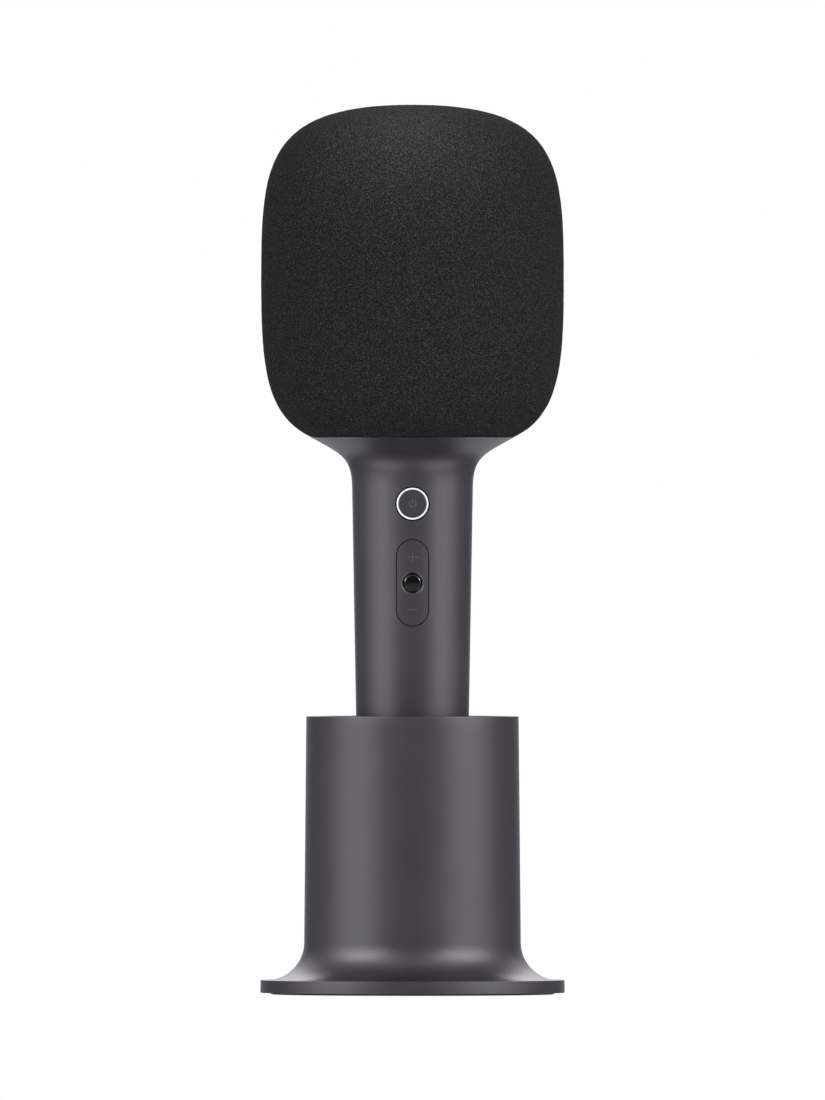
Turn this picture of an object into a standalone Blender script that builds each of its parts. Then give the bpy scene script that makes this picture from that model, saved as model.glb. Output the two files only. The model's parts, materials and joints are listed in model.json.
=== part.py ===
"""Karaoke microphone standing in its storage base.

The origin is the centre of the base's foot, +Z is up and the controls face -Y.
Every named size is in millimetres; the building functions turn them into Blender's metres.
"""

import math
from dataclasses import dataclass

import bmesh
import bpy
from mathutils import Matrix, Vector

MM = 0.001
GAP = 0.3  # between two pieces that rest on each other
WELD = 1e-6  # metres, for closing a turned shape on itself

# Driving dimensions
TOTAL_HEIGHT = 258.6
HEAD_RADIUS = 44.0
HEAD_WIDEST_Z = 205.6
SEAM_Z = 162.0
SEAM_RADIUS = 29.6
NECK_LOW_Z = 146.4
HANDLE_TOP_RADIUS = 17.55
HANDLE_TAPER = 0.0172  # radius lost for each millimetre down the handle
MIC_BOTTOM_Z = 12.0
BASE_HEIGHT = 80.9
CUP_TOP_RADIUS = 30.88
CUP_LOW_RADIUS = 31.5
FLANGE_RADIUS = 44.25
FLANGE_BOTTOM_Z = 0.45
FLANGE_TOP_Z = 4.15
FILLET_RADIUS = 11.0
POWER_Z = 142.6
CONTROL_Z = 119.6

# Facets round the large and the small turned pieces
COARSE = 36
MEDIUM = 20
FINE = 14
TINY = 8

# Rotations of a piece drawn along its own Z
FACING = (math.pi / 2, 0, 0)  # to the front, with its own Y upwards
INTO_BACK = (-math.pi / 2, 0, 0)
ALONG_X = (0, math.pi / 2, 0)
ALONG_Y = (math.pi / 2, 0, 0)
UPSIDE_DOWN = (math.pi, 0, 0)
SIDEWAYS = (0, 0, math.pi / 2)  # still along Z, its own Y turned to X


def handle_radius(z):
    return HANDLE_TOP_RADIUS - HANDLE_TAPER * (NECK_LOW_Z - z)


# ---------------------------------------------------------------- outlines


def bezier(start, pull_a, pull_b, end, steps):
    """Points of a cubic curve, both ends included."""
    points = []
    for i in range(steps + 1):
        t = i / steps
        u = 1 - t
        weights = (u**3, 3 * u * u * t, 3 * u * t * t, t**3)
        corners = (start, pull_a, pull_b, end)
        points.append(tuple(sum(w * c[k] for w, c in zip(weights, corners)) for k in (0, 1)))
    return points


def arc(centre, radius, from_deg, to_deg, steps):
    angles = [math.radians(from_deg + (to_deg - from_deg) * i / steps) for i in range(steps + 1)]
    return [(centre[0] + radius * math.cos(a), centre[1] + radius * math.sin(a)) for a in angles]


def offset(points, distance):
    """The same curve moved to its right-hand side by distance."""
    moved = []
    for i, point in enumerate(points):
        before = points[max(i - 1, 0)]
        after = points[min(i + 1, len(points) - 1)]
        run = (after[0] - before[0], after[1] - before[1])
        share = distance / math.hypot(*run)
        moved.append((point[0] + share * run[1], point[1] - share * run[0]))
    return moved


def ring(inner, outer, low, high):
    return [(inner, low), (outer, low), (outer, high), (inner, high)]


def disc(radius, low, high):
    return [(0, low), (radius, low), (radius, high), (0, high)]


def stadium(width, length, steps=8):
    """A slot outline, long in y."""
    radius = width / 2
    shift = length / 2 - radius
    return arc((0, shift), radius, 0, 180, steps) + arc((0, -shift), radius, 180, 360, steps)


def head_outline(steps):
    """The head's silhouette from the crown to the seam."""
    crown = (0, TOTAL_HEIGHT)
    crown_pull = (HEAD_RADIUS, TOTAL_HEIGHT)
    shoulder_pull = (HEAD_RADIUS, HEAD_WIDEST_Z + 35.2)
    widest = (HEAD_RADIUS, HEAD_WIDEST_Z)
    waist_pull = (HEAD_RADIUS, HEAD_WIDEST_Z - 24.7)
    seam_pull = (SEAM_RADIUS + 12.4, SEAM_Z + 6.2)
    seam = (SEAM_RADIUS, SEAM_Z + GAP)
    upper = bezier(crown, crown_pull, shoulder_pull, widest, steps)
    lower = bezier(widest, waist_pull, seam_pull, seam, steps - 2)
    return upper + lower[1:]


def neck_outline(steps):
    """The flare from the top of the handle out to the seam."""
    low = (HANDLE_TOP_RADIUS, NECK_LOW_Z)
    low_pull = (HANDLE_TOP_RADIUS, NECK_LOW_Z + 10.2)
    high_pull = (SEAM_RADIUS - 8.9, SEAM_Z - 5.2)
    high = (SEAM_RADIUS, SEAM_Z)
    return bezier(low, low_pull, high_pull, high, steps)


# ---------------------------------------------------------------- materials


def finish(name, colour, roughness, metallic=0.0):
    material = bpy.data.materials.new(name)
    material.use_nodes = True
    shader = material.node_tree.nodes["Principled BSDF"]
    shader.inputs["Base Color"].default_value = (*colour, 1.0)
    shader.inputs["Roughness"].default_value = roughness
    shader.inputs["Metallic"].default_value = metallic
    return material


def make_materials():
    grey = (0.085, 0.08, 0.092)
    return {
        "body_grey": finish("body_grey", grey, 0.38, 0.7),
        "foam": finish("foam", (0.024, 0.024, 0.024), 0.95),
        "black_gloss": finish("black_gloss", (0.01, 0.01, 0.012), 0.08),
        "bright_metal": finish("bright_metal", (0.55, 0.55, 0.57), 0.15, 1.0),
        "steel": finish("steel", (0.45, 0.45, 0.46), 0.35, 1.0),
        "light_guide": finish("light_guide", (0.95, 0.95, 0.95), 0.4),
        "black_plastic": finish("black_plastic", (0.02, 0.02, 0.022), 0.5),
        "rubber": finish("rubber", (0.018, 0.018, 0.018), 0.85),
        "board": finish("board", (0.01, 0.09, 0.04), 0.45),
        "cell_wrap": finish("cell_wrap", (0.05, 0.2, 0.45), 0.35),
        "paper_cone": finish("paper_cone", (0.05, 0.05, 0.055), 0.8),
        "wire": finish("wire", (0.4, 0.03, 0.03), 0.5),
    }


# ---------------------------------------------------------------- building blocks


def pivot(name, parent=None, location=(0, 0, 0), rotation=(0, 0, 0)):
    empty = bpy.data.objects.new(name, None)
    bpy.context.scene.collection.objects.link(empty)
    empty.parent = parent
    empty.location = Vector(location) * MM
    empty.rotation_euler = rotation
    return empty


def place(name, bm, material, parent, location=(0, 0, 0), rotation=(0, 0, 0)):
    """Makes a bmesh, drawn in millimetres, into an object of the scene."""
    bmesh.ops.scale(bm, vec=(MM, MM, MM), verts=bm.verts)
    bmesh.ops.remove_doubles(bm, verts=bm.verts, dist=WELD)
    bmesh.ops.recalc_face_normals(bm, faces=bm.faces)
    mesh = bpy.data.meshes.new(name)
    bm.to_mesh(mesh)
    bm.free()
    mesh.materials.append(material)
    mesh.shade_smooth()
    mesh.set_sharp_from_angle(angle=math.radians(35))
    obj = bpy.data.objects.new(name, mesh)
    bpy.context.scene.collection.objects.link(obj)
    obj.parent = parent
    obj.location = Vector(location) * MM
    obj.rotation_euler = rotation
    return obj


def turned(name, profile, material, parent, facets=MEDIUM, **where):
    """A solid of revolution round local Z. A profile that starts on the axis also ends on it."""
    bm = bmesh.new()
    points = [bm.verts.new((r, 0, z)) for r, z in profile]
    loop = points if profile[0][0] == 0 else points + points[:1]
    edges = [bm.edges.new(pair) for pair in zip(loop, loop[1:])]
    bmesh.ops.spin(
        bm, geom=points + edges, cent=(0, 0, 0), axis=(0, 0, 1), angle=2 * math.pi, steps=facets
    )
    return place(name, bm, material, parent, **where)


def extruded(name, outline, low, high, material, parent, **where):
    """An outline in local XY, extruded along local Z from low to high."""
    bm = bmesh.new()
    face = bm.faces.new([bm.verts.new((x, y, low)) for x, y in outline])
    top = bmesh.ops.extrude_face_region(bm, geom=[face])["geom"]
    raised = [v for v in top if isinstance(v, bmesh.types.BMVert)]
    bmesh.ops.translate(bm, vec=(0, 0, high - low), verts=raised)
    return place(name, bm, material, parent, **where)


def block(name, low, high, material, parent, bevel=0.0, **where):
    """A box between two corners, with bevelled edges if bevel is given."""
    bm = bmesh.new()
    size = [b - a for a, b in zip(low, high)]
    middle = [(a + b) / 2 for a, b in zip(low, high)]
    bmesh.ops.create_cube(bm, size=1, matrix=Matrix.LocRotScale(Vector(middle), None, Vector(size)))
    if bevel:
        bmesh.ops.bevel(bm, geom=bm.edges[:], offset=bevel, segments=1, affect="EDGES")
    return place(name, bm, material, parent, **where)


def boolean(target, tool, operation):
    tool.hide_render = True
    tool.display_type = "WIRE"
    modifier = target.modifiers.new(operation.lower(), "BOOLEAN")
    modifier.operation = operation
    modifier.object = tool
    modifier.solver = "EXACT"
    return target


def cut(target, *tools):
    for tool in tools:
        boolean(target, tool, "DIFFERENCE")
    return target


def join(target, *tools):
    for tool in tools:
        boolean(target, tool, "UNION")
    return target


def smooth_route(knots, spacing):
    """Points about spacing apart on a Catmull-Rom curve through the knots."""
    ends = [knots[0], *knots, knots[-1]]
    points = []
    for before, a, b, after in zip(ends, ends[1:], ends[2:], ends[3:]):
        before, a, b, after = map(Vector, (before, a, b, after))
        steps = max(1, round((b - a).length / spacing))
        for i in range(steps):
            t = i / steps
            square = 2 * before - 5 * a + 4 * b - after
            cube = 3 * a - before - 3 * b + after
            points.append((2 * a + (b - before) * t + square * t**2 + cube * t**3) / 2)
    return points + [Vector(knots[-1])]


def lead(name, knots, diameter, material, parent, spacing=4.0):
    """A thin insulated wire along a smooth route."""
    curve = bpy.data.curves.new(name, "CURVE")
    curve.dimensions = "3D"
    curve.bevel_depth = diameter / 2 * MM
    curve.bevel_resolution = 1
    curve.use_fill_caps = True
    curve.materials.append(material)
    points = smooth_route(knots, spacing)
    spline = curve.splines.new("POLY")
    spline.points.add(len(points) - 1)
    for knot, point in zip(spline.points, points):
        knot.co = (*(point * MM), 1.0)
    obj = bpy.data.objects.new(name, curve)
    bpy.context.scene.collection.objects.link(obj)
    obj.parent = parent
    return obj


@dataclass
class ScrewSize:
    length: float
    head_radius: float
    head_height: float
    shank_radius: float


BASE_SCREW = ScrewSize(8.2, 2.3, 1.3, 1.2)
CAP_SCREW = ScrewSize(11.0, 1.9, 1.0, 1.0)
BOARD_SCREW = ScrewSize(5.2, 1.5, 0.9, 0.8)
SHORT_SCREW = ScrewSize(4.0, 1.5, 0.9, 0.8)


def screw(name, size, material, parent, **where):
    """A pan-head screw, its head's underside at local Z 0 and its tip downwards."""
    profile = [
        (0, -size.length),
        (size.shank_radius, -size.length + size.shank_radius),
        (size.shank_radius, 0),
        (size.head_radius, 0),
        (size.head_radius, size.head_height * 0.6),
        (size.head_radius * 0.75, size.head_height),
        (0, size.head_height),
    ]
    body = turned(name, profile, material, parent, TINY, **where)
    long, short = size.head_radius * 0.55, size.head_radius * 0.16
    low, high = size.head_height * 0.45, size.head_height + 1
    recess = block(name + "_slot_a", (-long, -short, low), (long, short, high), material, parent, **where)
    join(recess, block(
        name + "_slot_b", (-short, -long, low), (short, long, high), material, parent, **where
    ))
    return cut(body, recess)


# ---------------------------------------------------------------- storage base

BASE_WALL = 2.4
RIM_WALL = 2.0
RIM_INSIDE_RADIUS = CUP_TOP_RADIUS - RIM_WALL
RECESS_RADIUS = 42.3
RECESS_TOP_Z = 2.4
EDGE_BREAK = 0.35
FILLET_CENTRE = (CUP_LOW_RADIUS + FILLET_RADIUS, FLANGE_TOP_Z + FILLET_RADIUS)

COVER_BOTTOM_Z = 0.75
COVER_TOP_Z = 2.1
COVER_RIB = (20.5, 27.6)  # radii of the rib that the screws pass through
COVER_RIB_TOP_Z = 4.1
FOOT_GROOVE = (33.0, 41.7)
FOOT_GROOVE_TOP_Z = 1.05

SCREW_CIRCLE = 24.0
BASE_SCREWS = 3
COUNTERBORE_RADIUS = 2.7
COUNTERBORE_TOP_Z = 2.6
BASE_BORE_RADIUS = 1.6
BASE_BORE_TOP_Z = 11.5

BALLAST_INNER = 18.5
BALLAST_OUTER = 28.4
BALLAST_LOW_Z = 4.4
BALLAST_HIGH_Z = 20.0

WELL_CLEARANCE = 0.5
WELL_WALL = 1.6
WELL_FLOOR = (8.2, 10.0)
WELL_STEP = 1.5
DRAIN_RADIUS = 4.0
DECK_TOP_Z = 80.6
DECK_THICKNESS = 2.0


def base_screw_spots():
    turns = [2 * math.pi * i / BASE_SCREWS + math.pi / 2 for i in range(BASE_SCREWS)]
    return [(SCREW_CIRCLE * math.cos(turn), SCREW_CIRCLE * math.sin(turn)) for turn in turns]


def make_stand_shell(m, root):
    inner_fillet = FILLET_RADIUS + BASE_WALL
    rise = FILLET_CENTRE[1] - RECESS_TOP_Z
    meets_recess = 180 + math.degrees(math.asin(rise / inner_fillet))
    profile = [
        (FLANGE_RADIUS - EDGE_BREAK, FLANGE_BOTTOM_Z),
        (FLANGE_RADIUS, FLANGE_BOTTOM_Z + EDGE_BREAK),
        (FLANGE_RADIUS - 0.05, FLANGE_TOP_Z - EDGE_BREAK),
        (FLANGE_RADIUS - EDGE_BREAK, FLANGE_TOP_Z),
        *arc(FILLET_CENTRE, FILLET_RADIUS, 270, 180, 6),
        (CUP_TOP_RADIUS, BASE_HEIGHT - EDGE_BREAK),
        (CUP_TOP_RADIUS - EDGE_BREAK, BASE_HEIGHT),
        (RIM_INSIDE_RADIUS, BASE_HEIGHT),
        *arc(FILLET_CENTRE, inner_fillet, 180, meets_recess, 3),
        (RECESS_RADIUS, RECESS_TOP_Z),
        (RECESS_RADIUS, FLANGE_BOTTOM_Z),
    ]
    turned("stand_shell", profile, m["body_grey"], root, COARSE)


def make_base_bores(m, root):
    """Cutters for the screws' counterbores, and their holes through the cover and the ballast."""
    profile = [
        (0, 0),
        (COUNTERBORE_RADIUS, 0),
        (COUNTERBORE_RADIUS, COUNTERBORE_TOP_Z),
        (BASE_BORE_RADIUS, COUNTERBORE_TOP_Z),
        (BASE_BORE_RADIUS, BASE_BORE_TOP_Z),
        (0, BASE_BORE_TOP_Z),
    ]
    return [
        turned(f"base_bore_{i + 1}", profile, m["steel"], root, TINY, location=(*spot, 0))
        for i, spot in enumerate(base_screw_spots())
    ]


def make_base_cover(m, root, bores):
    edge = RECESS_RADIUS - GAP
    profile = [
        (0, COVER_BOTTOM_Z),
        (FOOT_GROOVE[0], COVER_BOTTOM_Z),
        (FOOT_GROOVE[0], FOOT_GROOVE_TOP_Z),
        (FOOT_GROOVE[1], FOOT_GROOVE_TOP_Z),
        (FOOT_GROOVE[1], COVER_BOTTOM_Z),
        (edge, COVER_BOTTOM_Z),
        (edge, COVER_TOP_Z),
        (COVER_RIB[1], COVER_TOP_Z),
        (COVER_RIB[1], COVER_RIB_TOP_Z),
        (COVER_RIB[0], COVER_RIB_TOP_Z),
        (COVER_RIB[0], COVER_TOP_Z),
        (0, COVER_TOP_Z),
    ]
    cut(turned("base_cover", profile, m["black_plastic"], root, COARSE), *bores)


def make_ballast(m, root, bores):
    profile = ring(BALLAST_INNER, BALLAST_OUTER, BALLAST_LOW_Z, BALLAST_HIGH_Z)
    cut(turned("ballast_ring", profile, m["steel"], root, COARSE), *bores)


def make_rubber_foot(m, root):
    inner, outer = FOOT_GROOVE[0] + GAP, FOOT_GROOVE[1] - GAP
    top = FOOT_GROOVE_TOP_Z - GAP
    profile = [
        (inner, 0.25), (inner + 0.5, 0), (outer - 0.6, 0), (outer, 0.4), (outer, top), (inner, top),
    ]
    turned("rubber_foot", profile, m["rubber"], root, COARSE)


def make_stand_insert(m, root):
    """The deck and the well in one piece, with a step that rests on the ballast."""
    mouth = handle_radius(DECK_TOP_Z) + WELL_CLEARANCE
    low = handle_radius(WELL_FLOOR[1]) + WELL_CLEARANCE
    step = BALLAST_HIGH_Z + GAP
    deck_low = DECK_TOP_Z - DECK_THICKNESS
    deck_edge = RIM_INSIDE_RADIUS - GAP
    profile = [
        (DRAIN_RADIUS, WELL_FLOOR[0]),
        (low + WELL_WALL - 0.6, WELL_FLOOR[0]),
        (low + WELL_WALL, WELL_FLOOR[0] + 0.6),
        (low + WELL_WALL, step),
        (BALLAST_OUTER, step),
        (BALLAST_OUTER, step + WELL_STEP),
        (low + WELL_WALL + 0.2, step + WELL_STEP),
        (mouth + WELL_WALL, deck_low),
        (deck_edge, deck_low),
        (deck_edge, DECK_TOP_Z),
        (mouth + 1.2, DECK_TOP_Z),
        (mouth + 0.35, DECK_TOP_Z - 0.35),
        (mouth, DECK_TOP_Z - 1.2),
        (low, WELL_FLOOR[1]),
        (DRAIN_RADIUS, WELL_FLOOR[1]),
    ]
    turned("stand_insert", profile, m["black_plastic"], root, COARSE)


def make_insert_pad(m, root):
    outer = handle_radius(WELL_FLOOR[1]) + WELL_CLEARANCE - GAP
    profile = ring(DRAIN_RADIUS + 1, outer, WELL_FLOOR[1] + GAP, MIC_BOTTOM_Z - GAP)
    turned("insert_pad", profile, m["rubber"], root, MEDIUM)


def build_base(m, root):
    bores = make_base_bores(m, root)
    make_stand_shell(m, root)
    make_base_cover(m, root, bores)
    make_ballast(m, root, bores)
    make_rubber_foot(m, root)
    make_stand_insert(m, root)
    make_insert_pad(m, root)
    for i, spot in enumerate(base_screw_spots()):
        seat = (*spot, COUNTERBORE_TOP_Z - GAP)
        screw(f"base_screw_{i + 1}", BASE_SCREW, m["steel"], root, location=seat, rotation=UPSIDE_DOWN)


# ---------------------------------------------------------------- handle

HANDLE_WALL = 1.8
SHELL_BOTTOM_Z = 14.0
RIM_INNER_RADIUS = 24.5
RIM_SLOPE = 0.58
POWER_HOLE_RADIUS = 5.1
PLATE_WIDTH, PLATE_LENGTH = 9.1, 25.0
PLATE_GAP = 0.25
HOLE_DEPTHS = (8, 24)  # reach of the cutters that open the handle's front

CAP_PLUG_RADIUS = 13.1
CAP_PLUG_TOP_Z = 16.2
END_SCREW_X = 9.6
END_SEAT_Z = MIC_BOTTOM_Z + 1.6
END_COUNTERBORE_RADIUS = 2.2
END_BORE_RADIUS = 1.3

USB_Y = 4.6
USB_OPENING = (3.8, 9.6)
USB_OUTSIDE = (3.2, 8.94)
USB_INSIDE = (2.56, 8.34)
USB_BACK_WALL = 0.6
JACK_Y = -5.2
JACK_OPENING_RADIUS = 3.1
JACK_RADIUS = 2.8
JACK_BORE_RADIUS = 1.8
PORT_MOUTH_Z = 12.6
PORT_TOP_Z = 20.5
PORT_BOARD_Z = (20.8, 21.8)
PORT_BOARD_HALF = (7.6, 8.5)

CHASSIS_OUTER, CHASSIS_INNER = 12.6, 11.2
CHASSIS_LOW_Z, CHASSIS_HIGH_Z = 22.4, 155.0
LOW_BULKHEAD_TOP_Z = 25.4
MID_BULKHEAD_Z = 93.0
BULKHEAD = 1.6
LEAD_HOLE_RADIUS = 5.5
CELL_RADIUS = 9.1
CELL_Z = (26.6, 90.6)
STRAP_Z = (52.0, 66.0)

MAIN_BOARD_Y = (3.0, 4.2)
MAIN_BOARD_Z = (96, 152)
MAIN_SCREWS = ((6.5, 99.0), (-6.5, 149.0))  # x and z
BUTTON_BOARD_Y = (-8.7, -7.7)
BUTTON_BOARD_Z = (103, 152)
BUTTON_SCREWS = ((8.6, 105.5), (-8.6, 149.5))
THREAD_RADIUS = 1.1
BOSS_RADIUS = 1.9
BOSS_BACK = 9.0
RAIL_X = (6.4, 11.3)
RAIL_Y = (-7.4, -3.0)


def make_handle_shell(m, mic):
    """The tapered tube and its flare, with a thick rim for the foam to sit on."""
    neck = neck_outline(7)
    inner = [p for p in offset(neck, -HANDLE_WALL) if p[0] < RIM_INNER_RADIUS - GAP]
    rim_low = inner[-1][1] + (RIM_INNER_RADIUS - inner[-1][0]) * RIM_SLOPE
    profile = [
        (handle_radius(SHELL_BOTTOM_Z), SHELL_BOTTOM_Z),
        *neck,
        (RIM_INNER_RADIUS, SEAM_Z),
        (RIM_INNER_RADIUS, rim_low),
        *reversed(inner),
        (handle_radius(SHELL_BOTTOM_Z) - HANDLE_WALL, SHELL_BOTTOM_Z),
    ]
    shell = turned("handle_shell", profile, m["body_grey"], mic, COARSE)
    power_hole = turned(
        "power_hole", disc(POWER_HOLE_RADIUS, *HOLE_DEPTHS), m["body_grey"], mic, MEDIUM,
        location=(0, 0, POWER_Z), rotation=FACING,
    )
    outline = stadium(PLATE_WIDTH + 2 * PLATE_GAP, PLATE_LENGTH + 2 * PLATE_GAP)
    plate_hole = extruded(
        "plate_hole", outline, *HOLE_DEPTHS, m["body_grey"], mic,
        location=(0, 0, CONTROL_Z), rotation=FACING,
    )
    cut(shell, power_hole, plate_hole)


def make_end_cap(m, mic):
    """The plug at the handle's lower end, its two screws and the openings for the sockets."""
    edge = handle_radius(MIC_BOTTOM_Z)
    seam = SHELL_BOTTOM_Z - GAP
    profile = [
        (0, MIC_BOTTOM_Z),
        (edge - 0.9, MIC_BOTTOM_Z),
        (edge - 0.25, MIC_BOTTOM_Z + 0.3),
        (edge, MIC_BOTTOM_Z + 1.0),
        (edge, seam),
        (CAP_PLUG_RADIUS, seam),
        (CAP_PLUG_RADIUS, CAP_PLUG_TOP_Z),
        (0, CAP_PLUG_TOP_Z),
    ]
    cap = turned("end_cap", profile, m["body_grey"], mic, COARSE)
    usb_opening = extruded(
        "usb_opening", stadium(*USB_OPENING), 0, 30, m["steel"], mic,
        location=(0, USB_Y, 0), rotation=SIDEWAYS,
    )
    jack_opening = turned(
        "jack_opening", disc(JACK_OPENING_RADIUS, 0, 30), m["steel"], mic, FINE, location=(0, JACK_Y, 0)
    )
    cut(cap, usb_opening, jack_opening)
    bore_profile = [
        (0, 0),
        (END_COUNTERBORE_RADIUS, 0),
        (END_COUNTERBORE_RADIUS, END_SEAT_Z),
        (END_BORE_RADIUS, END_SEAT_Z),
        (END_BORE_RADIUS, 30),
        (0, 30),
    ]
    for i, x in enumerate((-END_SCREW_X, END_SCREW_X)):
        cut(cap, turned(f"end_bore_{i + 1}", bore_profile, m["steel"], mic, TINY, location=(x, 0, 0)))
        screw(
            f"end_cap_screw_{i + 1}", CAP_SCREW, m["steel"], mic,
            location=(x, 0, END_SEAT_Z - GAP), rotation=UPSIDE_DOWN,
        )


def make_usb_socket(m, mic):
    spot = {"location": (0, USB_Y, 0), "rotation": SIDEWAYS}
    shell = extruded("usb_shell", stadium(*USB_OUTSIDE, 6), PORT_MOUTH_Z, PORT_TOP_Z, m["steel"], mic, **spot)
    inside_top = PORT_TOP_Z - USB_BACK_WALL
    cut(shell, extruded("usb_inside", stadium(*USB_INSIDE, 6), 10, inside_top, m["steel"], mic, **spot))
    tongue = block(
        "usb_tongue", (-3.3, USB_Y - 0.35, PORT_MOUTH_Z + 0.7), (3.3, USB_Y + 0.35, PORT_TOP_Z - 2.2),
        m["black_plastic"], mic,
    )
    join(tongue, block(
        "usb_tongue_root", (-3.4, USB_Y - 0.9, PORT_TOP_Z - 2.6), (3.4, USB_Y + 0.9, PORT_TOP_Z - 0.9),
        m["black_plastic"], mic,
    ))


def make_audio_jack(m, mic):
    profile = [
        (0, PORT_TOP_Z - 0.8),
        (JACK_BORE_RADIUS, PORT_TOP_Z - 0.8),
        (JACK_BORE_RADIUS, PORT_MOUTH_Z),
        (JACK_RADIUS - 0.2, PORT_MOUTH_Z),
        (JACK_RADIUS, PORT_MOUTH_Z + 0.2),
        (JACK_RADIUS, PORT_TOP_Z),
        (0, PORT_TOP_Z),
    ]
    turned("audio_jack", profile, m["steel"], mic, FINE, location=(0, JACK_Y, 0))


def make_port_board(m, mic):
    half_x, half_y = PORT_BOARD_HALF
    low, high = PORT_BOARD_Z
    block("port_board", (-half_x, -half_y, low), (half_x, half_y, high), m["board"], mic)


def make_chassis(m, mic):
    """The trough that carries the cell and the two circuit boards, open at the front."""
    black = m["black_plastic"]
    profile = [
        (0, CHASSIS_LOW_Z),
        (CHASSIS_OUTER, CHASSIS_LOW_Z),
        (CHASSIS_OUTER, CHASSIS_HIGH_Z),
        (LEAD_HOLE_RADIUS, CHASSIS_HIGH_Z),
        (LEAD_HOLE_RADIUS, CHASSIS_HIGH_Z - BULKHEAD),
        (CHASSIS_INNER, CHASSIS_HIGH_Z - BULKHEAD),
        (CHASSIS_INNER, LOW_BULKHEAD_TOP_Z),
        (0, LOW_BULKHEAD_TOP_Z),
    ]
    chassis = turned("chassis", profile, black, mic, MEDIUM)
    shelf = disc(CHASSIS_INNER + 0.8, MID_BULKHEAD_Z, MID_BULKHEAD_Z + BULKHEAD)
    join(chassis, turned("middle_bulkhead", shelf, black, mic, FINE))
    cut(chassis, block("front_opening", (-14, -14, 27.0), (14, -4, 152.0), black, mic))
    cut(chassis, block("lead_notch", (-2, -14, 20), (2, -9.7, 28), black, mic))
    for i, x in enumerate((-END_SCREW_X, END_SCREW_X)):
        thread = disc(END_BORE_RADIUS, 20, 24.8)
        cut(chassis, turned(f"end_thread_{i + 1}", thread, black, mic, TINY, location=(x, 0, 0)))
    return chassis


def make_battery(m, mic):
    low, high = CELL_Z
    profile = [
        (0, low),
        (CELL_RADIUS - 0.6, low),
        (CELL_RADIUS, low + 0.6),
        (CELL_RADIUS, high - 1.6),
        (CELL_RADIUS - 0.6, high - 1.0),
        (2.8, high - 1.0),
        (2.8, high),
        (0, high),
    ]
    turned("battery_cell", profile, m["cell_wrap"], mic, MEDIUM)
    strap = ring(CELL_RADIUS + GAP, CHASSIS_INNER - GAP, *STRAP_Z)
    turned("battery_strap", strap, m["rubber"], mic, MEDIUM)


def make_main_board(m, mic, chassis):
    """The main board with its shield, on two bosses of the chassis."""
    black = m["black_plastic"]
    front, back = MAIN_BOARD_Y
    board = block("main_board", (-10, front, MAIN_BOARD_Z[0]), (10, back, MAIN_BOARD_Z[1]), m["board"], mic)
    block("shield_can", (-7, 0.5, 108), (7, front - GAP, 128), m["steel"], mic, bevel=0.3)
    boss_profile = [
        (0, 8.3),
        (THREAD_RADIUS, 8.3),
        (THREAD_RADIUS, back + GAP),
        (BOSS_RADIUS, back + GAP),
        (BOSS_RADIUS, BOSS_BACK),
        (0, BOSS_BACK),
    ]
    for i, (x, z) in enumerate(MAIN_SCREWS):
        spot = {"location": (x, 0, z), "rotation": INTO_BACK}
        join(chassis, turned(f"boss_{i + 1}", boss_profile, black, mic, TINY, **spot))
        cut(board, turned(f"main_hole_{i + 1}", disc(THREAD_RADIUS, 0, 8), black, mic, TINY, **spot))
        screw(
            f"main_board_screw_{i + 1}", BOARD_SCREW, m["steel"], mic,
            location=(x, front - GAP, z), rotation=FACING,
        )


def make_button_board(m, mic, chassis):
    """The board behind the controls, on two rails of the chassis."""
    black = m["black_plastic"]
    front, back = BUTTON_BOARD_Y
    low, high = BUTTON_BOARD_Z
    board = block("button_board", (-11, front, low), (11, back, high), m["board"], mic)
    for i, (x, z) in enumerate(BUTTON_SCREWS):
        inner, outer = sorted(math.copysign(edge, x) for edge in RAIL_X)
        rail = block(
            f"rail_{i + 1}", (inner, RAIL_Y[0], low + 1), (outer, RAIL_Y[1], high - 1), black, mic
        )
        thread = turned(
            f"button_thread_{i + 1}", disc(THREAD_RADIUS, 4.4, 14), black, mic, TINY,
            location=(x, 0, z), rotation=FACING,
        )
        cut(rail, thread)
        join(chassis, rail)
        cut(board, thread)
        screw(
            f"button_board_screw_{i + 1}", SHORT_SCREW, m["steel"], mic,
            location=(x, front - GAP, z), rotation=FACING,
        )


def build_handle(m, mic):
    make_handle_shell(m, mic)
    make_end_cap(m, mic)
    make_usb_socket(m, mic)
    make_audio_jack(m, mic)
    make_port_board(m, mic)
    chassis = make_chassis(m, mic)
    make_battery(m, mic)
    make_main_board(m, mic, chassis)
    make_button_board(m, mic, chassis)


# ---------------------------------------------------------------- controls
# Depths here are distances from the handle's axis towards the front.

RING_RADII = (4.1, 4.75)
RING_FLANGE_RADIUS = 6.5
RING_FRONT = 17.35
BUTTON_RADIUS = 3.85
BUTTON_FLANGE_RADIUS = 5.2
BUTTON_FRONT = 17.5
PLUNGER_RADIUS = 1.6

STICK_PIVOT = 10.9  # depth of the point the stick tilts about
KNOB_HOLE_RADIUS = 2.93
PLATE_FRONT = 17.05  # also the radius of the plate's face
CROWN_FACETS = 96
PLUS_Z = 127.15
MINUS_Z = 111.85
MARK_HALF_LENGTH = 1.45
MARK_HALF_STROKE = 0.2
BEZEL_RADIUS = 2.37
BEZEL_FRONT = 17.15
CAP_RADIUS = 1.6


def make_power_switch(m, mic):
    spot = {"location": (0, 0, POWER_Z), "rotation": FACING}
    switch = block("power_switch", (-3, -3, 9.0), (3, 3, 11.0), m["black_plastic"], mic, **spot)
    bore = disc(PLUNGER_RADIUS + GAP, 9.6, 12)
    cut(switch, turned("switch_bore", bore, m["black_plastic"], mic, TINY, **spot))


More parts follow.
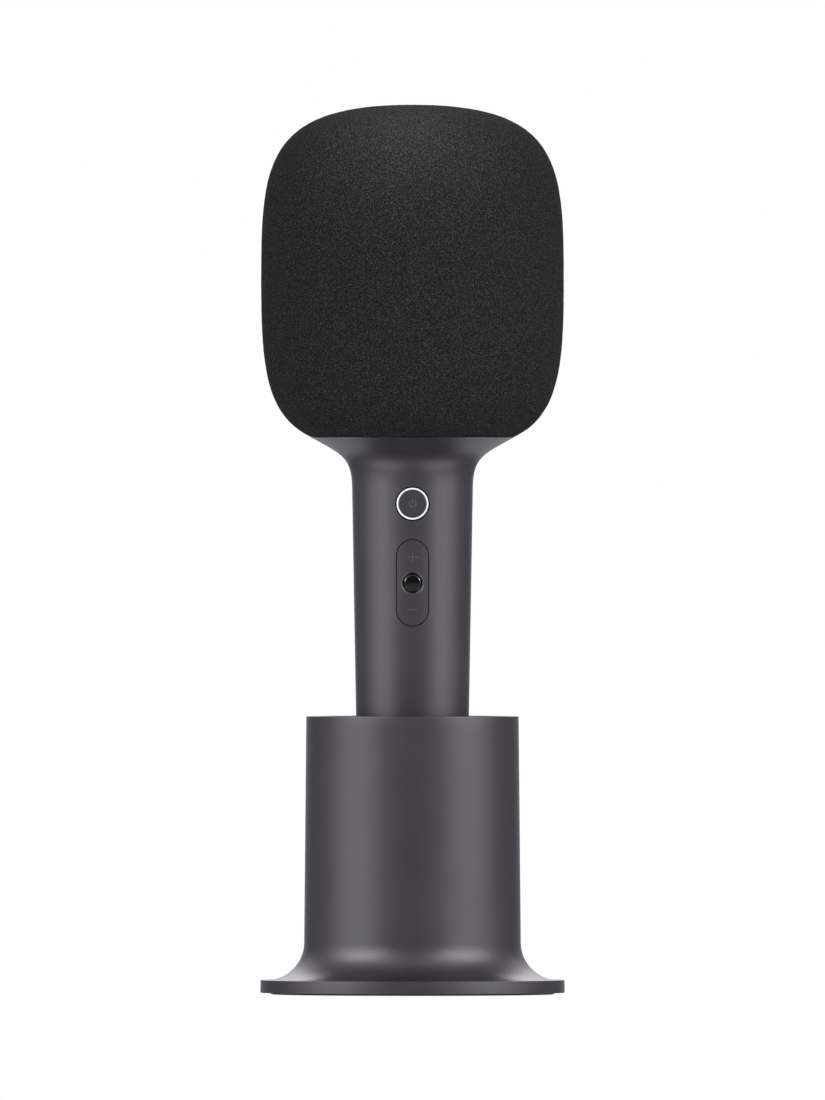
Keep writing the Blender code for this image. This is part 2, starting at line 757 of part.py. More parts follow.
def make_light_ring(m, mic):
    inner, outer = RING_RADII
    profile = [
        (inner, 13.0),
        (RING_FLANGE_RADIUS, 13.0),
        (RING_FLANGE_RADIUS, 13.9),
        (outer, 13.9),
        (outer, RING_FRONT - 0.2),
        (outer - 0.2, RING_FRONT),
        (inner, RING_FRONT),
    ]
    turned(
        "light_ring", profile, m["light_guide"], mic, MEDIUM, location=(0, 0, POWER_Z), rotation=FACING
    )


def make_power_button(m, mic):
    press = pivot("power_press", mic, (0, 0, POWER_Z), FACING)
    profile = [
        (0, 12.0),
        (BUTTON_FLANGE_RADIUS, 12.0),
        (BUTTON_FLANGE_RADIUS, 12.7),
        (BUTTON_RADIUS, 12.7),
        (BUTTON_RADIUS, BUTTON_FRONT - 0.3),
        (BUTTON_RADIUS - 0.25, BUTTON_FRONT - 0.05),
        (0, BUTTON_FRONT),
    ]
    turned("power_button", profile, m["body_grey"], press, MEDIUM)
    turned("switch_plunger", disc(PLUNGER_RADIUS, 10.2, 11.7), m["black_plastic"], press, TINY)


def make_control_plate(m, mic):
    """The inlaid plate, curved like the handle, dished round the stick and cut with the two marks."""
    grey = m["body_grey"]
    spot = {"location": (0, 0, CONTROL_Z), "rotation": FACING}
    plate = extruded("control_plate", stadium(PLATE_WIDTH, PLATE_LENGTH), 12.7, 18, grey, mic, **spot)
    flange = extruded("plate_flange", stadium(12, 28, 6), 12.6, 13.4, grey, mic, **spot)
    crown = turned(
        "plate_crown", disc(PLATE_FRONT, -40, 40), grey, mic, CROWN_FACETS,
        location=(0, 0, CONTROL_Z), rotation=(math.atan(HANDLE_TAPER), 0, 0),
    )
    dish = [
        (0, 10),
        (KNOB_HOLE_RADIUS, 10),
        (KNOB_HOLE_RADIUS, 16.3),
        (KNOB_HOLE_RADIUS + 1.3, 18.3),
        (0, 18.3),
    ]
    boolean(plate, crown, "INTERSECT")
    join(plate, flange)
    cut(plate, turned("plate_dish", dish, grey, mic, MEDIUM, **spot))
    marks = (
        ("plus_across", MARK_HALF_LENGTH, MARK_HALF_STROKE, PLUS_Z),
        ("plus_up", MARK_HALF_STROKE, MARK_HALF_LENGTH, PLUS_Z),
        ("minus", MARK_HALF_LENGTH, MARK_HALF_STROKE, MINUS_Z),
    )
    for name, half_x, half_y, z in marks:
        low, high = (-half_x, -half_y, 16.85), (half_x, half_y, 18)
        cut(plate, block(name, low, high, grey, mic, location=(0, 0, z), rotation=FACING))


def make_joystick_housing(m, mic):
    spot = {"location": (0, 0, CONTROL_Z), "rotation": FACING}
    housing = block("joystick_housing", (-4.2, -4.2, 9.0), (4.2, 4.2, 12.2), m["steel"], mic, **spot)
    cut(housing, block("housing_space", (-3.6, -3.6, 9.7), (3.6, 3.6, 13), m["steel"], mic, **spot))


def make_joystick_carriage(m, press):
    """The square frame that slides in the housing and holds the gimbal's pins."""
    black = m["black_plastic"]
    carriage = block("joystick_carriage", (-3.3, -3.3, -0.7), (3.3, 3.3, 0.7), black, press)
    cut(carriage, block("carriage_space", (-2.6, -2.6, -1), (2.6, 2.6, 1), black, press))
    cut(carriage, turned("carriage_bore", disc(0.5, -4, 4), black, press, TINY, rotation=ALONG_X))


def make_joystick_gimbal(m, tilt_x):
    steel = m["steel"]
    gimbal = block("joystick_gimbal", (-2.2, -2.2, -0.5), (2.2, 2.2, 0.5), steel, tilt_x)
    join(gimbal, turned("gimbal_pins", disc(0.3, -3.1, 3.1), steel, tilt_x, TINY, rotation=ALONG_X))
    cut(gimbal, block("gimbal_space", (-1.5, -1.5, -1), (1.5, 1.5, 1), steel, tilt_x))
    cut(gimbal, turned("gimbal_bore", disc(0.42, -4, 4), steel, tilt_x, TINY, rotation=ALONG_Y))


def make_joystick_knob(m, tilt_z):
    """The stem with its pins, and the polished ring and glossy cap on its head."""
    depth = {"location": (0, 0, -STICK_PIVOT)}
    stem_profile = [
        (0, 10.3),
        (1.0, 10.3),
        (1.0, 14.4),
        (2.0, 14.6),
        (2.0, 15.4),
        (1.2, 15.4),
        (1.2, 16.2),
        (0, 16.2),
    ]
    stem = turned("joystick_stick", stem_profile, m["black_plastic"], tilt_z, FINE, **depth)
    pins = disc(0.22, -2.05, 2.05)
    join(stem, turned("stick_pins", pins, m["black_plastic"], tilt_z, TINY, rotation=ALONG_Y))
    bezel_profile = [
        (1.5, 15.7),
        (BEZEL_RADIUS, 15.7),
        (BEZEL_RADIUS, BEZEL_FRONT - 0.4),
        (1.9, BEZEL_FRONT),
        (1.75, BEZEL_FRONT),
        (1.75, 16.3),
        (1.5, 16.3),
    ]
    turned("joystick_bezel", bezel_profile, m["bright_metal"], tilt_z, MEDIUM, **depth)
    cap_profile = [
        (0, 16.5),
        (CAP_RADIUS, 16.5),
        (CAP_RADIUS, 17.05),
        (1.3, 17.25),
        (0.7, 17.4),
        (0, 17.45),
    ]
    turned("joystick_cap", cap_profile, m["black_gloss"], tilt_z, MEDIUM, **depth)


def build_power(m, mic):
    make_power_switch(m, mic)
    make_light_ring(m, mic)
    make_power_button(m, mic)


def build_joystick(m, mic):
    """The plate, and the small stick in its middle that tilts two ways and presses."""
    make_control_plate(m, mic)
    make_joystick_housing(m, mic)
    press = pivot("joystick_press", mic, (0, -STICK_PIVOT, CONTROL_Z), FACING)
    make_joystick_carriage(m, press)
    tilt_x = pivot("joystick_tilt_x", press)
    make_joystick_gimbal(m, tilt_x)
    tilt_z = pivot("joystick_tilt_z", tilt_x)
    make_joystick_knob(m, tilt_z)


# ---------------------------------------------------------------- head

COLLAR_TOP_Z = 164.0
COLLAR_RADII = (19.3, 24.2)
FOAM_THICKNESS = 5.0
FOAM_MOUTH = 25.0
FOAM_MOUTH_TOP_Z = 164.5

BASKET_DEPTH = FOAM_THICKNESS + GAP
BASKET_WALL = 1.3
BASKET_LOW_Z = COLLAR_TOP_Z + GAP
BASKET_RING_INNER = 22.2
BASKET_RING_WALL = 1.5
BASKET_WINDOWS = 8
WINDOW_HALF_WIDTH = 6.2
WINDOW_Z = (174, 236)

CHAMBER_Z = 192.0
CHAMBER_RADII = (21.0, 23.0)
CHAMBER_HALF = 22.5
CHAMBER_FOOT_TOP_Z = 170.4
LEAD_WAY_RADIUS = 4
MIC_LEAD_Y = -15.5
MIC_LEAD_WAY_RADIUS = 1.4

BRACKET_LOW_Z = 217.0
CUP_LOW_Z = 229.0
CUP_OUTER = 11.4
CUP_FLOOR_Z = CUP_LOW_Z + 1.4
MOUNT_LOW_Z = CUP_FLOOR_Z + GAP
CAPSULE_RADIUS = 8.0
CAPSULE_LOW_Z = MOUNT_LOW_Z + 1.6
LEAD_DIAMETER = 1.2


def head_layer(depth, steps):
    """The head's outline moved inwards by depth, crown first."""
    curve = offset(head_outline(steps), depth)
    return [(0, curve[0][1]), *curve[1:]]


def make_neck_collar(m, mic):
    """The threaded ring that holds the head on the handle."""
    inner, outer = COLLAR_RADII
    profile = [
        (inner, 158.5),
        (outer - 2.0, 160.5),
        (outer, 161.7),
        (outer, COLLAR_TOP_Z),
        (inner, COLLAR_TOP_Z),
    ]
    turned("neck_collar", profile, m["steel"], mic, MEDIUM)


def make_windscreen(m, mic):
    profile = [
        *head_layer(0, 7),
        (FOAM_MOUTH, SEAM_Z + GAP),
        (FOAM_MOUTH, FOAM_MOUTH_TOP_Z),
        *reversed(head_layer(FOAM_THICKNESS, 5)),
    ]
    turned("windscreen", profile, m["foam"], mic, COARSE)


def make_grille_basket(m, mic):
    """The steel cage under the foam, open in eight tall windows."""
    outer = FOAM_MOUTH - GAP
    profile = [
        *head_layer(BASKET_DEPTH, 5),
        (outer, BASKET_LOW_Z + 0.3),
        (outer, BASKET_LOW_Z),
        (BASKET_RING_INNER, BASKET_LOW_Z),
        (BASKET_RING_INNER, BASKET_LOW_Z + BASKET_RING_WALL),
        (outer - 0.8, BASKET_LOW_Z + BASKET_RING_WALL),
        *reversed(head_layer(BASKET_DEPTH + BASKET_WALL, 5)),
    ]
    basket = turned("grille_basket", profile, m["steel"], mic, MEDIUM)
    low = (-50, -WINDOW_HALF_WIDTH, WINDOW_Z[0])
    high = (50, WINDOW_HALF_WIDTH, WINDOW_Z[1])
    for i in range(BASKET_WINDOWS // 2):
        turn = 2 * math.pi * (i + 0.5) / BASKET_WINDOWS
        cut(basket, block(f"basket_window_{i + 1}", low, high, m["steel"], mic, rotation=(0, 0, turn)))


def make_speaker_chamber(m, mic):
    """A cross tube with a driver at each end, on a foot that stands in the basket's ring."""
    black = m["black_plastic"]
    inner, outer = CHAMBER_RADII
    chamber = turned(
        "speaker_chamber", ring(inner, outer, -CHAMBER_HALF, CHAMBER_HALF), black, mic, COARSE,
        location=(0, 0, CHAMBER_Z), rotation=ALONG_X,
    )
    foot_radius = BASKET_RING_INNER - 0.4
    foot_profile = [
        (LEAD_WAY_RADIUS, BASKET_LOW_Z),
        (foot_radius, BASKET_LOW_Z),
        (foot_radius, BASKET_LOW_Z + 2),
        (9, BASKET_LOW_Z + 2),
        (7, CHAMBER_FOOT_TOP_Z),
        (LEAD_WAY_RADIUS, CHAMBER_FOOT_TOP_Z),
    ]
    foot = turned("chamber_foot", foot_profile, black, mic, MEDIUM)
    pad = block(
        "chamber_pad", (-6, -6, CHAMBER_Z + inner + 0.8), (6, 6, BRACKET_LOW_Z - GAP), black, mic
    )
    join(chamber, foot, pad)
    cut(chamber, turned("lead_way", disc(LEAD_WAY_RADIUS, 160, 172), black, mic, FINE))
    cut(chamber, turned(
        "mic_lead_way", disc(MIC_LEAD_WAY_RADIUS, 160, 168), black, mic, TINY, location=(0, MIC_LEAD_Y, 0)
    ))


def make_capsule_bracket(m, mic):
    """A short post with a cup on top for the capsule."""
    rim = CUP_OUTER - 1
    profile = [
        (0, BRACKET_LOW_Z),
        (5.6, BRACKET_LOW_Z),
        (5.6, BRACKET_LOW_Z + 1.5),
        (3.4, BRACKET_LOW_Z + 3),
        (3.4, CUP_LOW_Z),
        (CUP_OUTER, CUP_LOW_Z),
        (CUP_OUTER, CUP_LOW_Z + 7),
        (rim, CUP_LOW_Z + 7),
        (rim, CUP_FLOOR_Z),
        (0, CUP_FLOOR_Z),
    ]
    bracket = turned("capsule_bracket", profile, m["black_plastic"], mic, MEDIUM)
    cut(bracket, turned(
        "bracket_hole", disc(1.2, CUP_LOW_Z - 4, CUP_LOW_Z + 6), m["black_plastic"], mic, TINY,
        location=(0, -6.5, 0),
    ))


def make_capsule_mount(m, mic):
    """The rubber sleeve between the cup and the capsule."""
    inner, outer = CAPSULE_RADIUS + GAP, CUP_OUTER - 1 - GAP
    profile = [
        (inner, MOUNT_LOW_Z + 1.4),
        (outer, MOUNT_LOW_Z + 1.4),
        (outer, MOUNT_LOW_Z + 5.6),
        (inner + 0.6, MOUNT_LOW_Z + 7.4),
        (inner, MOUNT_LOW_Z + 7.4),
    ]
    turned("capsule_mount", profile, m["rubber"], mic, MEDIUM)


def make_mic_capsule(m, mic):
    high = CAPSULE_LOW_Z + 11.8
    face = CAPSULE_LOW_Z + 11.2
    profile = [
        (0, CAPSULE_LOW_Z),
        (CAPSULE_RADIUS - 0.5, CAPSULE_LOW_Z),
        (CAPSULE_RADIUS, CAPSULE_LOW_Z + 0.5),
        (CAPSULE_RADIUS, high - 0.8),
        (CAPSULE_RADIUS - 0.8, high),
        (CAPSULE_RADIUS - 1.6, high),
        (CAPSULE_RADIUS - 1.6, face),
        (0, face),
    ]
    turned("mic_capsule", profile, m["steel"], mic, MEDIUM)


# Each driver's own Z points out of the chamber, and Z 0 is the rear of its mounting rim.
FRAME_RADIUS = 22.4
FRAME_RIM = 1.4
MAGNET_RADIUS = 9.4
MAGNET_Z = (-16.6, -10.7)
COIL_RADIUS = 6.2
CONE_EDGE_RADIUS = 15.1
SURROUND_CENTRE = (16.75, -1.5)
SURROUND_RADII = (1.35, 0.85)


def make_speaker_frame(name, m, mic, spot):
    profile = [
        (18.5, FRAME_RIM),
        (FRAME_RADIUS, FRAME_RIM),
        (FRAME_RADIUS, 0),
        (20.4, 0),
        (20.0, -1.6),
        (9.8, -9.6),
        (9.8, -10.4),
        (7.0, -10.4),
        (7.0, -9.7),
        (9.3, -9.0),
        (18.5, -1.8),
    ]
    turned(f"speaker_frame_{name}", profile, m["black_plastic"], mic, FINE, **spot)


def make_speaker_magnet(name, m, mic, spot):
    """The magnet cup, with its pole piece standing in the voice coil."""
    low, high = MAGNET_Z
    profile = [
        (0, low),
        (MAGNET_RADIUS, low),
        (MAGNET_RADIUS, high),
        (COIL_RADIUS + 0.5, high),
        (COIL_RADIUS + 0.5, low + 1.7),
        (COIL_RADIUS - 1.1, low + 1.7),
        (COIL_RADIUS - 1.1, high - GAP),
        (0, high - GAP),
    ]
    turned(f"speaker_magnet_{name}", profile, m["steel"], mic, FINE, **spot)


def make_speaker_surround(name, m, mic, spot):
    outer, inner = SURROUND_RADII
    section = arc(SURROUND_CENTRE, outer, 180, 0, 3) + arc(SURROUND_CENTRE, inner, 0, 180, 3)
    turned(f"speaker_surround_{name}", section, m["rubber"], mic, FINE, **spot)


def make_speaker_cone(name, m, travel):
    """The paper cone with its dust cap and voice coil, in one piece."""
    profile = [
        (0, -4.8),
        (4.0, -5.4),
        (6.4, -6.9),
        (CONE_EDGE_RADIUS - 0.5, -1.2),
        (CONE_EDGE_RADIUS, -1.2),
        (CONE_EDGE_RADIUS, -1.8),
        (COIL_RADIUS, -8.2),
        (COIL_RADIUS, -13.2),
        (COIL_RADIUS - 0.6, -13.2),
        (COIL_RADIUS - 0.6, -7.2),
        (3.8, -6.0),
        (0, -5.4),
    ]
    turned(f"speaker_cone_{name}", profile, m["paper_cone"], travel, FINE)


def build_speaker(name, side, m, mic):
    """One driver, at the left (side -1) or the right (side 1)."""
    origin = (side * (CHAMBER_HALF + GAP), 0, CHAMBER_Z)
    outwards = (0, side * math.pi / 2, 0)
    spot = {"location": origin, "rotation": outwards}
    make_speaker_frame(name, m, mic, spot)
    make_speaker_magnet(name, m, mic, spot)
    make_speaker_surround(name, m, mic, spot)
    make_speaker_cone(name, m, pivot(f"speaker_travel_{name}", mic, origin, outwards))


def build_head(m, mic):
    make_neck_collar(m, mic)
    make_windscreen(m, mic)
    make_grille_basket(m, mic)
    make_speaker_chamber(m, mic)
    make_capsule_bracket(m, mic)
    make_capsule_mount(m, mic)
    make_mic_capsule(m, mic)
    build_speaker("left", -1, m, mic)
    build_speaker("right", 1, m, mic)


# ---------------------------------------------------------------- internal leads

MIC_LEAD_ROUTE = [
    (0, -6.5, 231.2), (0, -6.5, 226), (0, -14, 219), (0, -24, 206), (0, -25.6, 192), (0, -22.5, 178),
    (0, -16.4, 170), (0, MIC_LEAD_Y, 165), (0, -15.0, 158), (0, -14.3, 154.5), (0, -14.0, 152.2),
    (0, -12.0, 151.0), (0, -9.7, 150.4),
]
SPEAKER_LEAD_ROUTE = [
    (12.0, 0, 179.5), (5, 0, 175.0), (1.8, 0, 170.5), (1.8, 0, 160), (2.2, 0.9, 154.5), (3.0, 2.0, 150.5),
]
BATTERY_LEAD_ROUTE = [
    (0, -4.2, 91.4), (0, -6.6, 93.0), (0, -6.2, 95.6), (0, -1.5, 98.5), (0, 1.9, 100.5),
]
PORT_LEAD_ROUTE = [
    (0, -9.5, 21.3), (0, -11.2, 24), (0, -12.1, 29), (0, -12.2, 60), (0, -12.2, 86), (1.6, -10.4, 93),
    (3.2, -4, 98.5), (4.4, 1.9, 100.8),
]
PORT_LEAD_SPACING = 6.0


def build_leads(m, mic):
    wire = m["wire"]
    lead("mic_lead", MIC_LEAD_ROUTE, LEAD_DIAMETER, wire, mic)
    for name, side in (("left", -1), ("right", 1)):
        route = [(side * x, y, z) for x, y, z in SPEAKER_LEAD_ROUTE]
        lead(f"speaker_lead_{name}", route, LEAD_DIAMETER, wire, mic)
    lead("battery_lead", BATTERY_LEAD_ROUTE, LEAD_DIAMETER, wire, mic)
    lead("port_lead", PORT_LEAD_ROUTE, LEAD_DIAMETER, wire, mic, PORT_LEAD_SPACING)


def main():
    for obj in list(bpy.data.objects):
        bpy.data.objects.remove(obj, do_unlink=True)
    materials = make_materials()
    stand = pivot("storage_base")
    mic = pivot("microphone")
    build_base(materials, stand)
    build_handle(materials, mic)
    build_power(materials, mic)
    build_joystick(materials, mic)
    build_head(materials, mic)
    build_leads(materials, mic)


main()
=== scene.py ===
"""Karaoke microphone standing in its storage base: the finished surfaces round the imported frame.

The controls face -Y. Sizes and places on the object are millimetres, which the building functions turn
into metres. The studio's are metres.
"""

import json
import math

import bmesh
import bpy
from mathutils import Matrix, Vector, noise


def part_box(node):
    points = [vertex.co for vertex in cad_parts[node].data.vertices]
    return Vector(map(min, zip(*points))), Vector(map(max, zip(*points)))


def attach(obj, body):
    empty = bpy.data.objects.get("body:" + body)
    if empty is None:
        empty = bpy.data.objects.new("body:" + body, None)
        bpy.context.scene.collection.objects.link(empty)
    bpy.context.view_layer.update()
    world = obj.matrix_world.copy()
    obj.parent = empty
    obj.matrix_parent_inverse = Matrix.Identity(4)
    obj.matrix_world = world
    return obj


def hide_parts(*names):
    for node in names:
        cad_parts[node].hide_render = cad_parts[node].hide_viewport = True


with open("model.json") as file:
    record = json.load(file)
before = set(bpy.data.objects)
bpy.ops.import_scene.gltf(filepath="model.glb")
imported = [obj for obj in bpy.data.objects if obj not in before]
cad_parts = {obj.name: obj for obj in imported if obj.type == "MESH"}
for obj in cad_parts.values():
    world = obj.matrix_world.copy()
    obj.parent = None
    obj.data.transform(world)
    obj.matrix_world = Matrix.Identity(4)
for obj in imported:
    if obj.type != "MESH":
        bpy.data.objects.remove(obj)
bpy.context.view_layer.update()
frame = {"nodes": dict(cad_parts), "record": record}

MM = 0.001


def top(node):
    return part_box(node)[1].z / MM


def bottom(node):
    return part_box(node)[0].z / MM


def radius(node):
    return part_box(node)[1].x / MM


def front(node):
    """How far a node reaches from the handle's axis towards the controls."""
    return -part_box(node)[0].y / MM


def middle(node):
    low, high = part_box(node)
    return (low + high) / 2 / MM


# Sizes read from the frame
TOTAL_HEIGHT = top("windscreen")
HEAD_RADIUS = radius("windscreen")
SEAM_Z = top("handle_shell")
SEAM_RADIUS = radius("handle_shell")
SHELL_BOTTOM_Z = bottom("handle_shell")
MIC_BOTTOM_Z = bottom("end_cap")
BASE_HEIGHT = top("stand_shell")
FLANGE_RADIUS = radius("stand_shell")
FLANGE_BOTTOM_Z = bottom("stand_shell")
POWER_Z = middle("power_button").z
CONTROL_Z = middle("control_plate").z
BUTTON_FRONT = front("power_button")
KNOB_FRONT = front("joystick_bezel")

# The rest of the outline
HEAD_WIDEST_Z = 205.6
NECK_LOW_Z = 146.4
HANDLE_TOP_RADIUS = 17.55
HANDLE_TAPER = 0.0172
HANDLE_WALL = 1.8
CUP_TOP_RADIUS = 30.88
CUP_LOW_RADIUS = 31.5
FLANGE_TOP_Z = 4.15
FILLET_RADIUS = 11.0
RIM_INNER_RADIUS = 24.5
FOAM_EDGE_RADIUS = 29.9

FINE = 192  # segments round the large outer shells
ROUND = 96
SMALL = 48

FACING = (math.pi / 2, 0, 0)  # turns a piece's own Z to the front and its own Y upwards


def handle_radius(z):
    return HANDLE_TOP_RADIUS - HANDLE_TAPER * (NECK_LOW_Z - z)


# ---------------------------------------------------------------- outlines


def bezier(start, pull_a, pull_b, end, steps):
    points = []
    for i in range(steps + 1):
        t = i / steps
        u = 1 - t
        weights = (u**3, 3 * u * u * t, 3 * u * t * t, t**3)
        corners = (start, pull_a, pull_b, end)
        points.append(tuple(sum(w * c[k] for w, c in zip(weights, corners)) for k in (0, 1)))
    return points


def arc(centre, size, from_deg, to_deg, steps):
    angles = [math.radians(from_deg + (to_deg - from_deg) * i / steps) for i in range(steps + 1)]
    return [(centre[0] + size * math.cos(a), centre[1] + size * math.sin(a)) for a in angles]


def offset(points, distance):
    """The same curve moved to its right-hand side."""
    moved = []
    for i, point in enumerate(points):
        before = points[max(i - 1, 0)]
        after = points[min(i + 1, len(points) - 1)]
        run = (after[0] - before[0], after[1] - before[1])
        length = math.hypot(*run)
        moved.append((point[0] + distance * run[1] / length, point[1] - distance * run[0] / length))
    return moved


def even(points, spacing):
    """Points about spacing apart along a polyline, its own corners kept."""
    result = [points[0]]
    for a, b in zip(points, points[1:]):
        steps = max(1, round(math.dist(a, b) / spacing))
        result += [tuple(p + (q - p) * i / steps for p, q in zip(a, b)) for i in range(1, steps + 1)]
    return result


def softened(corners, steps=4):
    """A closed outline of (x, y) or (x, y, round) corners, each given round cut by a small curve."""
    points = []
    for i, corner in enumerate(corners):
        here = Vector(corner[:2])
        if len(corner) < 3:
            points.append(tuple(here))
            continue
        before = Vector(corners[i - 1][:2])
        after = Vector(corners[(i + 1) % len(corners)][:2])
        start = here + (before - here).normalized() * corner[2]
        end = here + (after - here).normalized() * corner[2]
        for k in range(steps + 1):
            t = k / steps
            points.append(tuple(start * (1 - t) ** 2 + here * 2 * t * (1 - t) + end * t * t))
    return points


def stadium(width, length, steps=24):
    size = width / 2
    shift = length / 2 - size
    return arc((0, shift), size, 0, 180, steps) + arc((0, -shift), size, 180, 360, steps)


def rectangle(half_width, half_height):
    x, y = half_width, half_height
    return [(-x, -y), (x, -y), (x, y), (-x, y)]


def head_outline(steps):
    """The foam's silhouette, which ends a little proud of the metal rim."""
    seam = (FOAM_EDGE_RADIUS, SEAM_Z + 0.2)
    crown = (0, TOTAL_HEIGHT)
    widest = (HEAD_RADIUS, HEAD_WIDEST_Z)
    upper = bezier(crown, (HEAD_RADIUS, TOTAL_HEIGHT), (HEAD_RADIUS, HEAD_WIDEST_Z + 35.2), widest, steps)
    seam_pull = (SEAM_RADIUS + 12.4, SEAM_Z + 6.2)
    lower = bezier(widest, (HEAD_RADIUS, HEAD_WIDEST_Z - 24.7), seam_pull, seam, steps)
    return upper + lower[1:]


def neck_outline(steps):
    low = (HANDLE_TOP_RADIUS, NECK_LOW_Z)
    high = (SEAM_RADIUS, SEAM_Z)
    return bezier(low, (HANDLE_TOP_RADIUS, 156.6), (SEAM_RADIUS - 8.9, 156.8), high, steps)


# ---------------------------------------------------------------- mesh building


def smooth(obj, angle=30):
    obj.data.shade_smooth()
    obj.data.set_sharp_from_angle(angle=math.radians(angle))
    return obj


def piece(name, mesh, location=(0, 0, 0), rotation=(0, 0, 0)):
    obj = bpy.data.objects.new(name, mesh)
    bpy.context.scene.collection.objects.link(obj)
    obj.location = Vector(location) * MM
    obj.rotation_euler = rotation
    return obj


def lathe(name, profile, segments=ROUND, **where):
    """A turned mesh round its own Z. A profile that starts on the axis also ends on it."""
    verts, rings = [], []
    turns = [2 * math.pi * i / segments for i in range(segments)]
    for r, z in profile:
        start = len(verts)
        if r < 1e-6:
            verts.append((0, 0, z * MM))
            rings.append([start] * segments)
        else:
            verts += [(r * math.cos(a) * MM, r * math.sin(a) * MM, z * MM) for a in turns]
            rings.append(list(range(start, start + segments)))
    loops = list(zip(rings, rings[1:]))
    if profile[0][0] > 1e-6:
        loops.append((rings[-1], rings[0]))
    faces = []
    for low, high in loops:
        for i in range(segments):
            k = (i + 1) % segments
            corners = [low[i], low[k], high[k], high[i]]
            faces.append(tuple(dict.fromkeys(corners)))
    mesh = bpy.data.meshes.new(name)
    mesh.from_pydata(verts, [], faces)
    outward(mesh)
    return smooth(piece(name, mesh, **where))


def outward(mesh):
    bm = bmesh.new()
    bm.from_mesh(mesh)
    bmesh.ops.recalc_face_normals(bm, faces=bm.faces)
    bm.to_mesh(mesh)
    bm.free()


def slab(name, outline, low, high, **where):
    """An outline in local XY, extruded along local Z from low to high."""
    bm = bmesh.new()
    face = bm.faces.new([bm.verts.new((x * MM, y * MM, low * MM)) for x, y in outline])
    raised = bmesh.ops.extrude_face_region(bm, geom=[face])["geom"]
    verts = [v for v in raised if isinstance(v, bmesh.types.BMVert)]
    bmesh.ops.translate(bm, vec=(0, 0, (high - low) * MM), verts=verts)
    bmesh.ops.recalc_face_normals(bm, faces=bm.faces)
    mesh = bpy.data.meshes.new(name)
    bm.to_mesh(mesh)
    bm.free()
    return smooth(piece(name, mesh, **where))


def carve(target, *cutters, operation="DIFFERENCE"):
    """Applies a Boolean with each cutter, then removes the cutters."""
    for cutter in cutters:
        modifier = target.modifiers.new("carve", "BOOLEAN")
        modifier.operation = operation
        modifier.object = cutter
        modifier.solver = "EXACT"
    bpy.context.view_layer.update()
    depsgraph = bpy.context.evaluated_depsgraph_get()
    target.data = bpy.data.meshes.new_from_object(target.evaluated_get(depsgraph))
    target.modifiers.clear()
    for cutter in cutters:
        bpy.data.objects.remove(cutter, do_unlink=True)
    return smooth(target)


def chamfer(obj, width, angle=40):
    """Rounds every edge of a piece that is sharper than angle."""
    bm = bmesh.new()
    bm.from_mesh(obj.data)
    bmesh.ops.remove_doubles(bm, verts=bm.verts, dist=1e-7)
    limit = math.radians(angle)
    sharp = [e for e in bm.edges if len(e.link_faces) == 2 and e.calc_face_angle() > limit]
    bmesh.ops.bevel(
        bm, geom=sharp, offset=width * MM, segments=2, profile=0.5, affect="EDGES", clamp_overlap=True
    )
    bm.to_mesh(obj.data)
    bm.free()
    return smooth(obj)


def finish_piece(obj, material, body, slot, *nodes):
    obj.data.materials.clear()
    obj.data.materials.append(material)
    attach(obj, body)
    if nodes:
        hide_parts(*nodes)
    return obj


# ---------------------------------------------------------------- materials

SATIN_COLOUR = (0.27, 0.255, 0.295)
FOAM_COLOUR = (0.03, 0.03, 0.03)


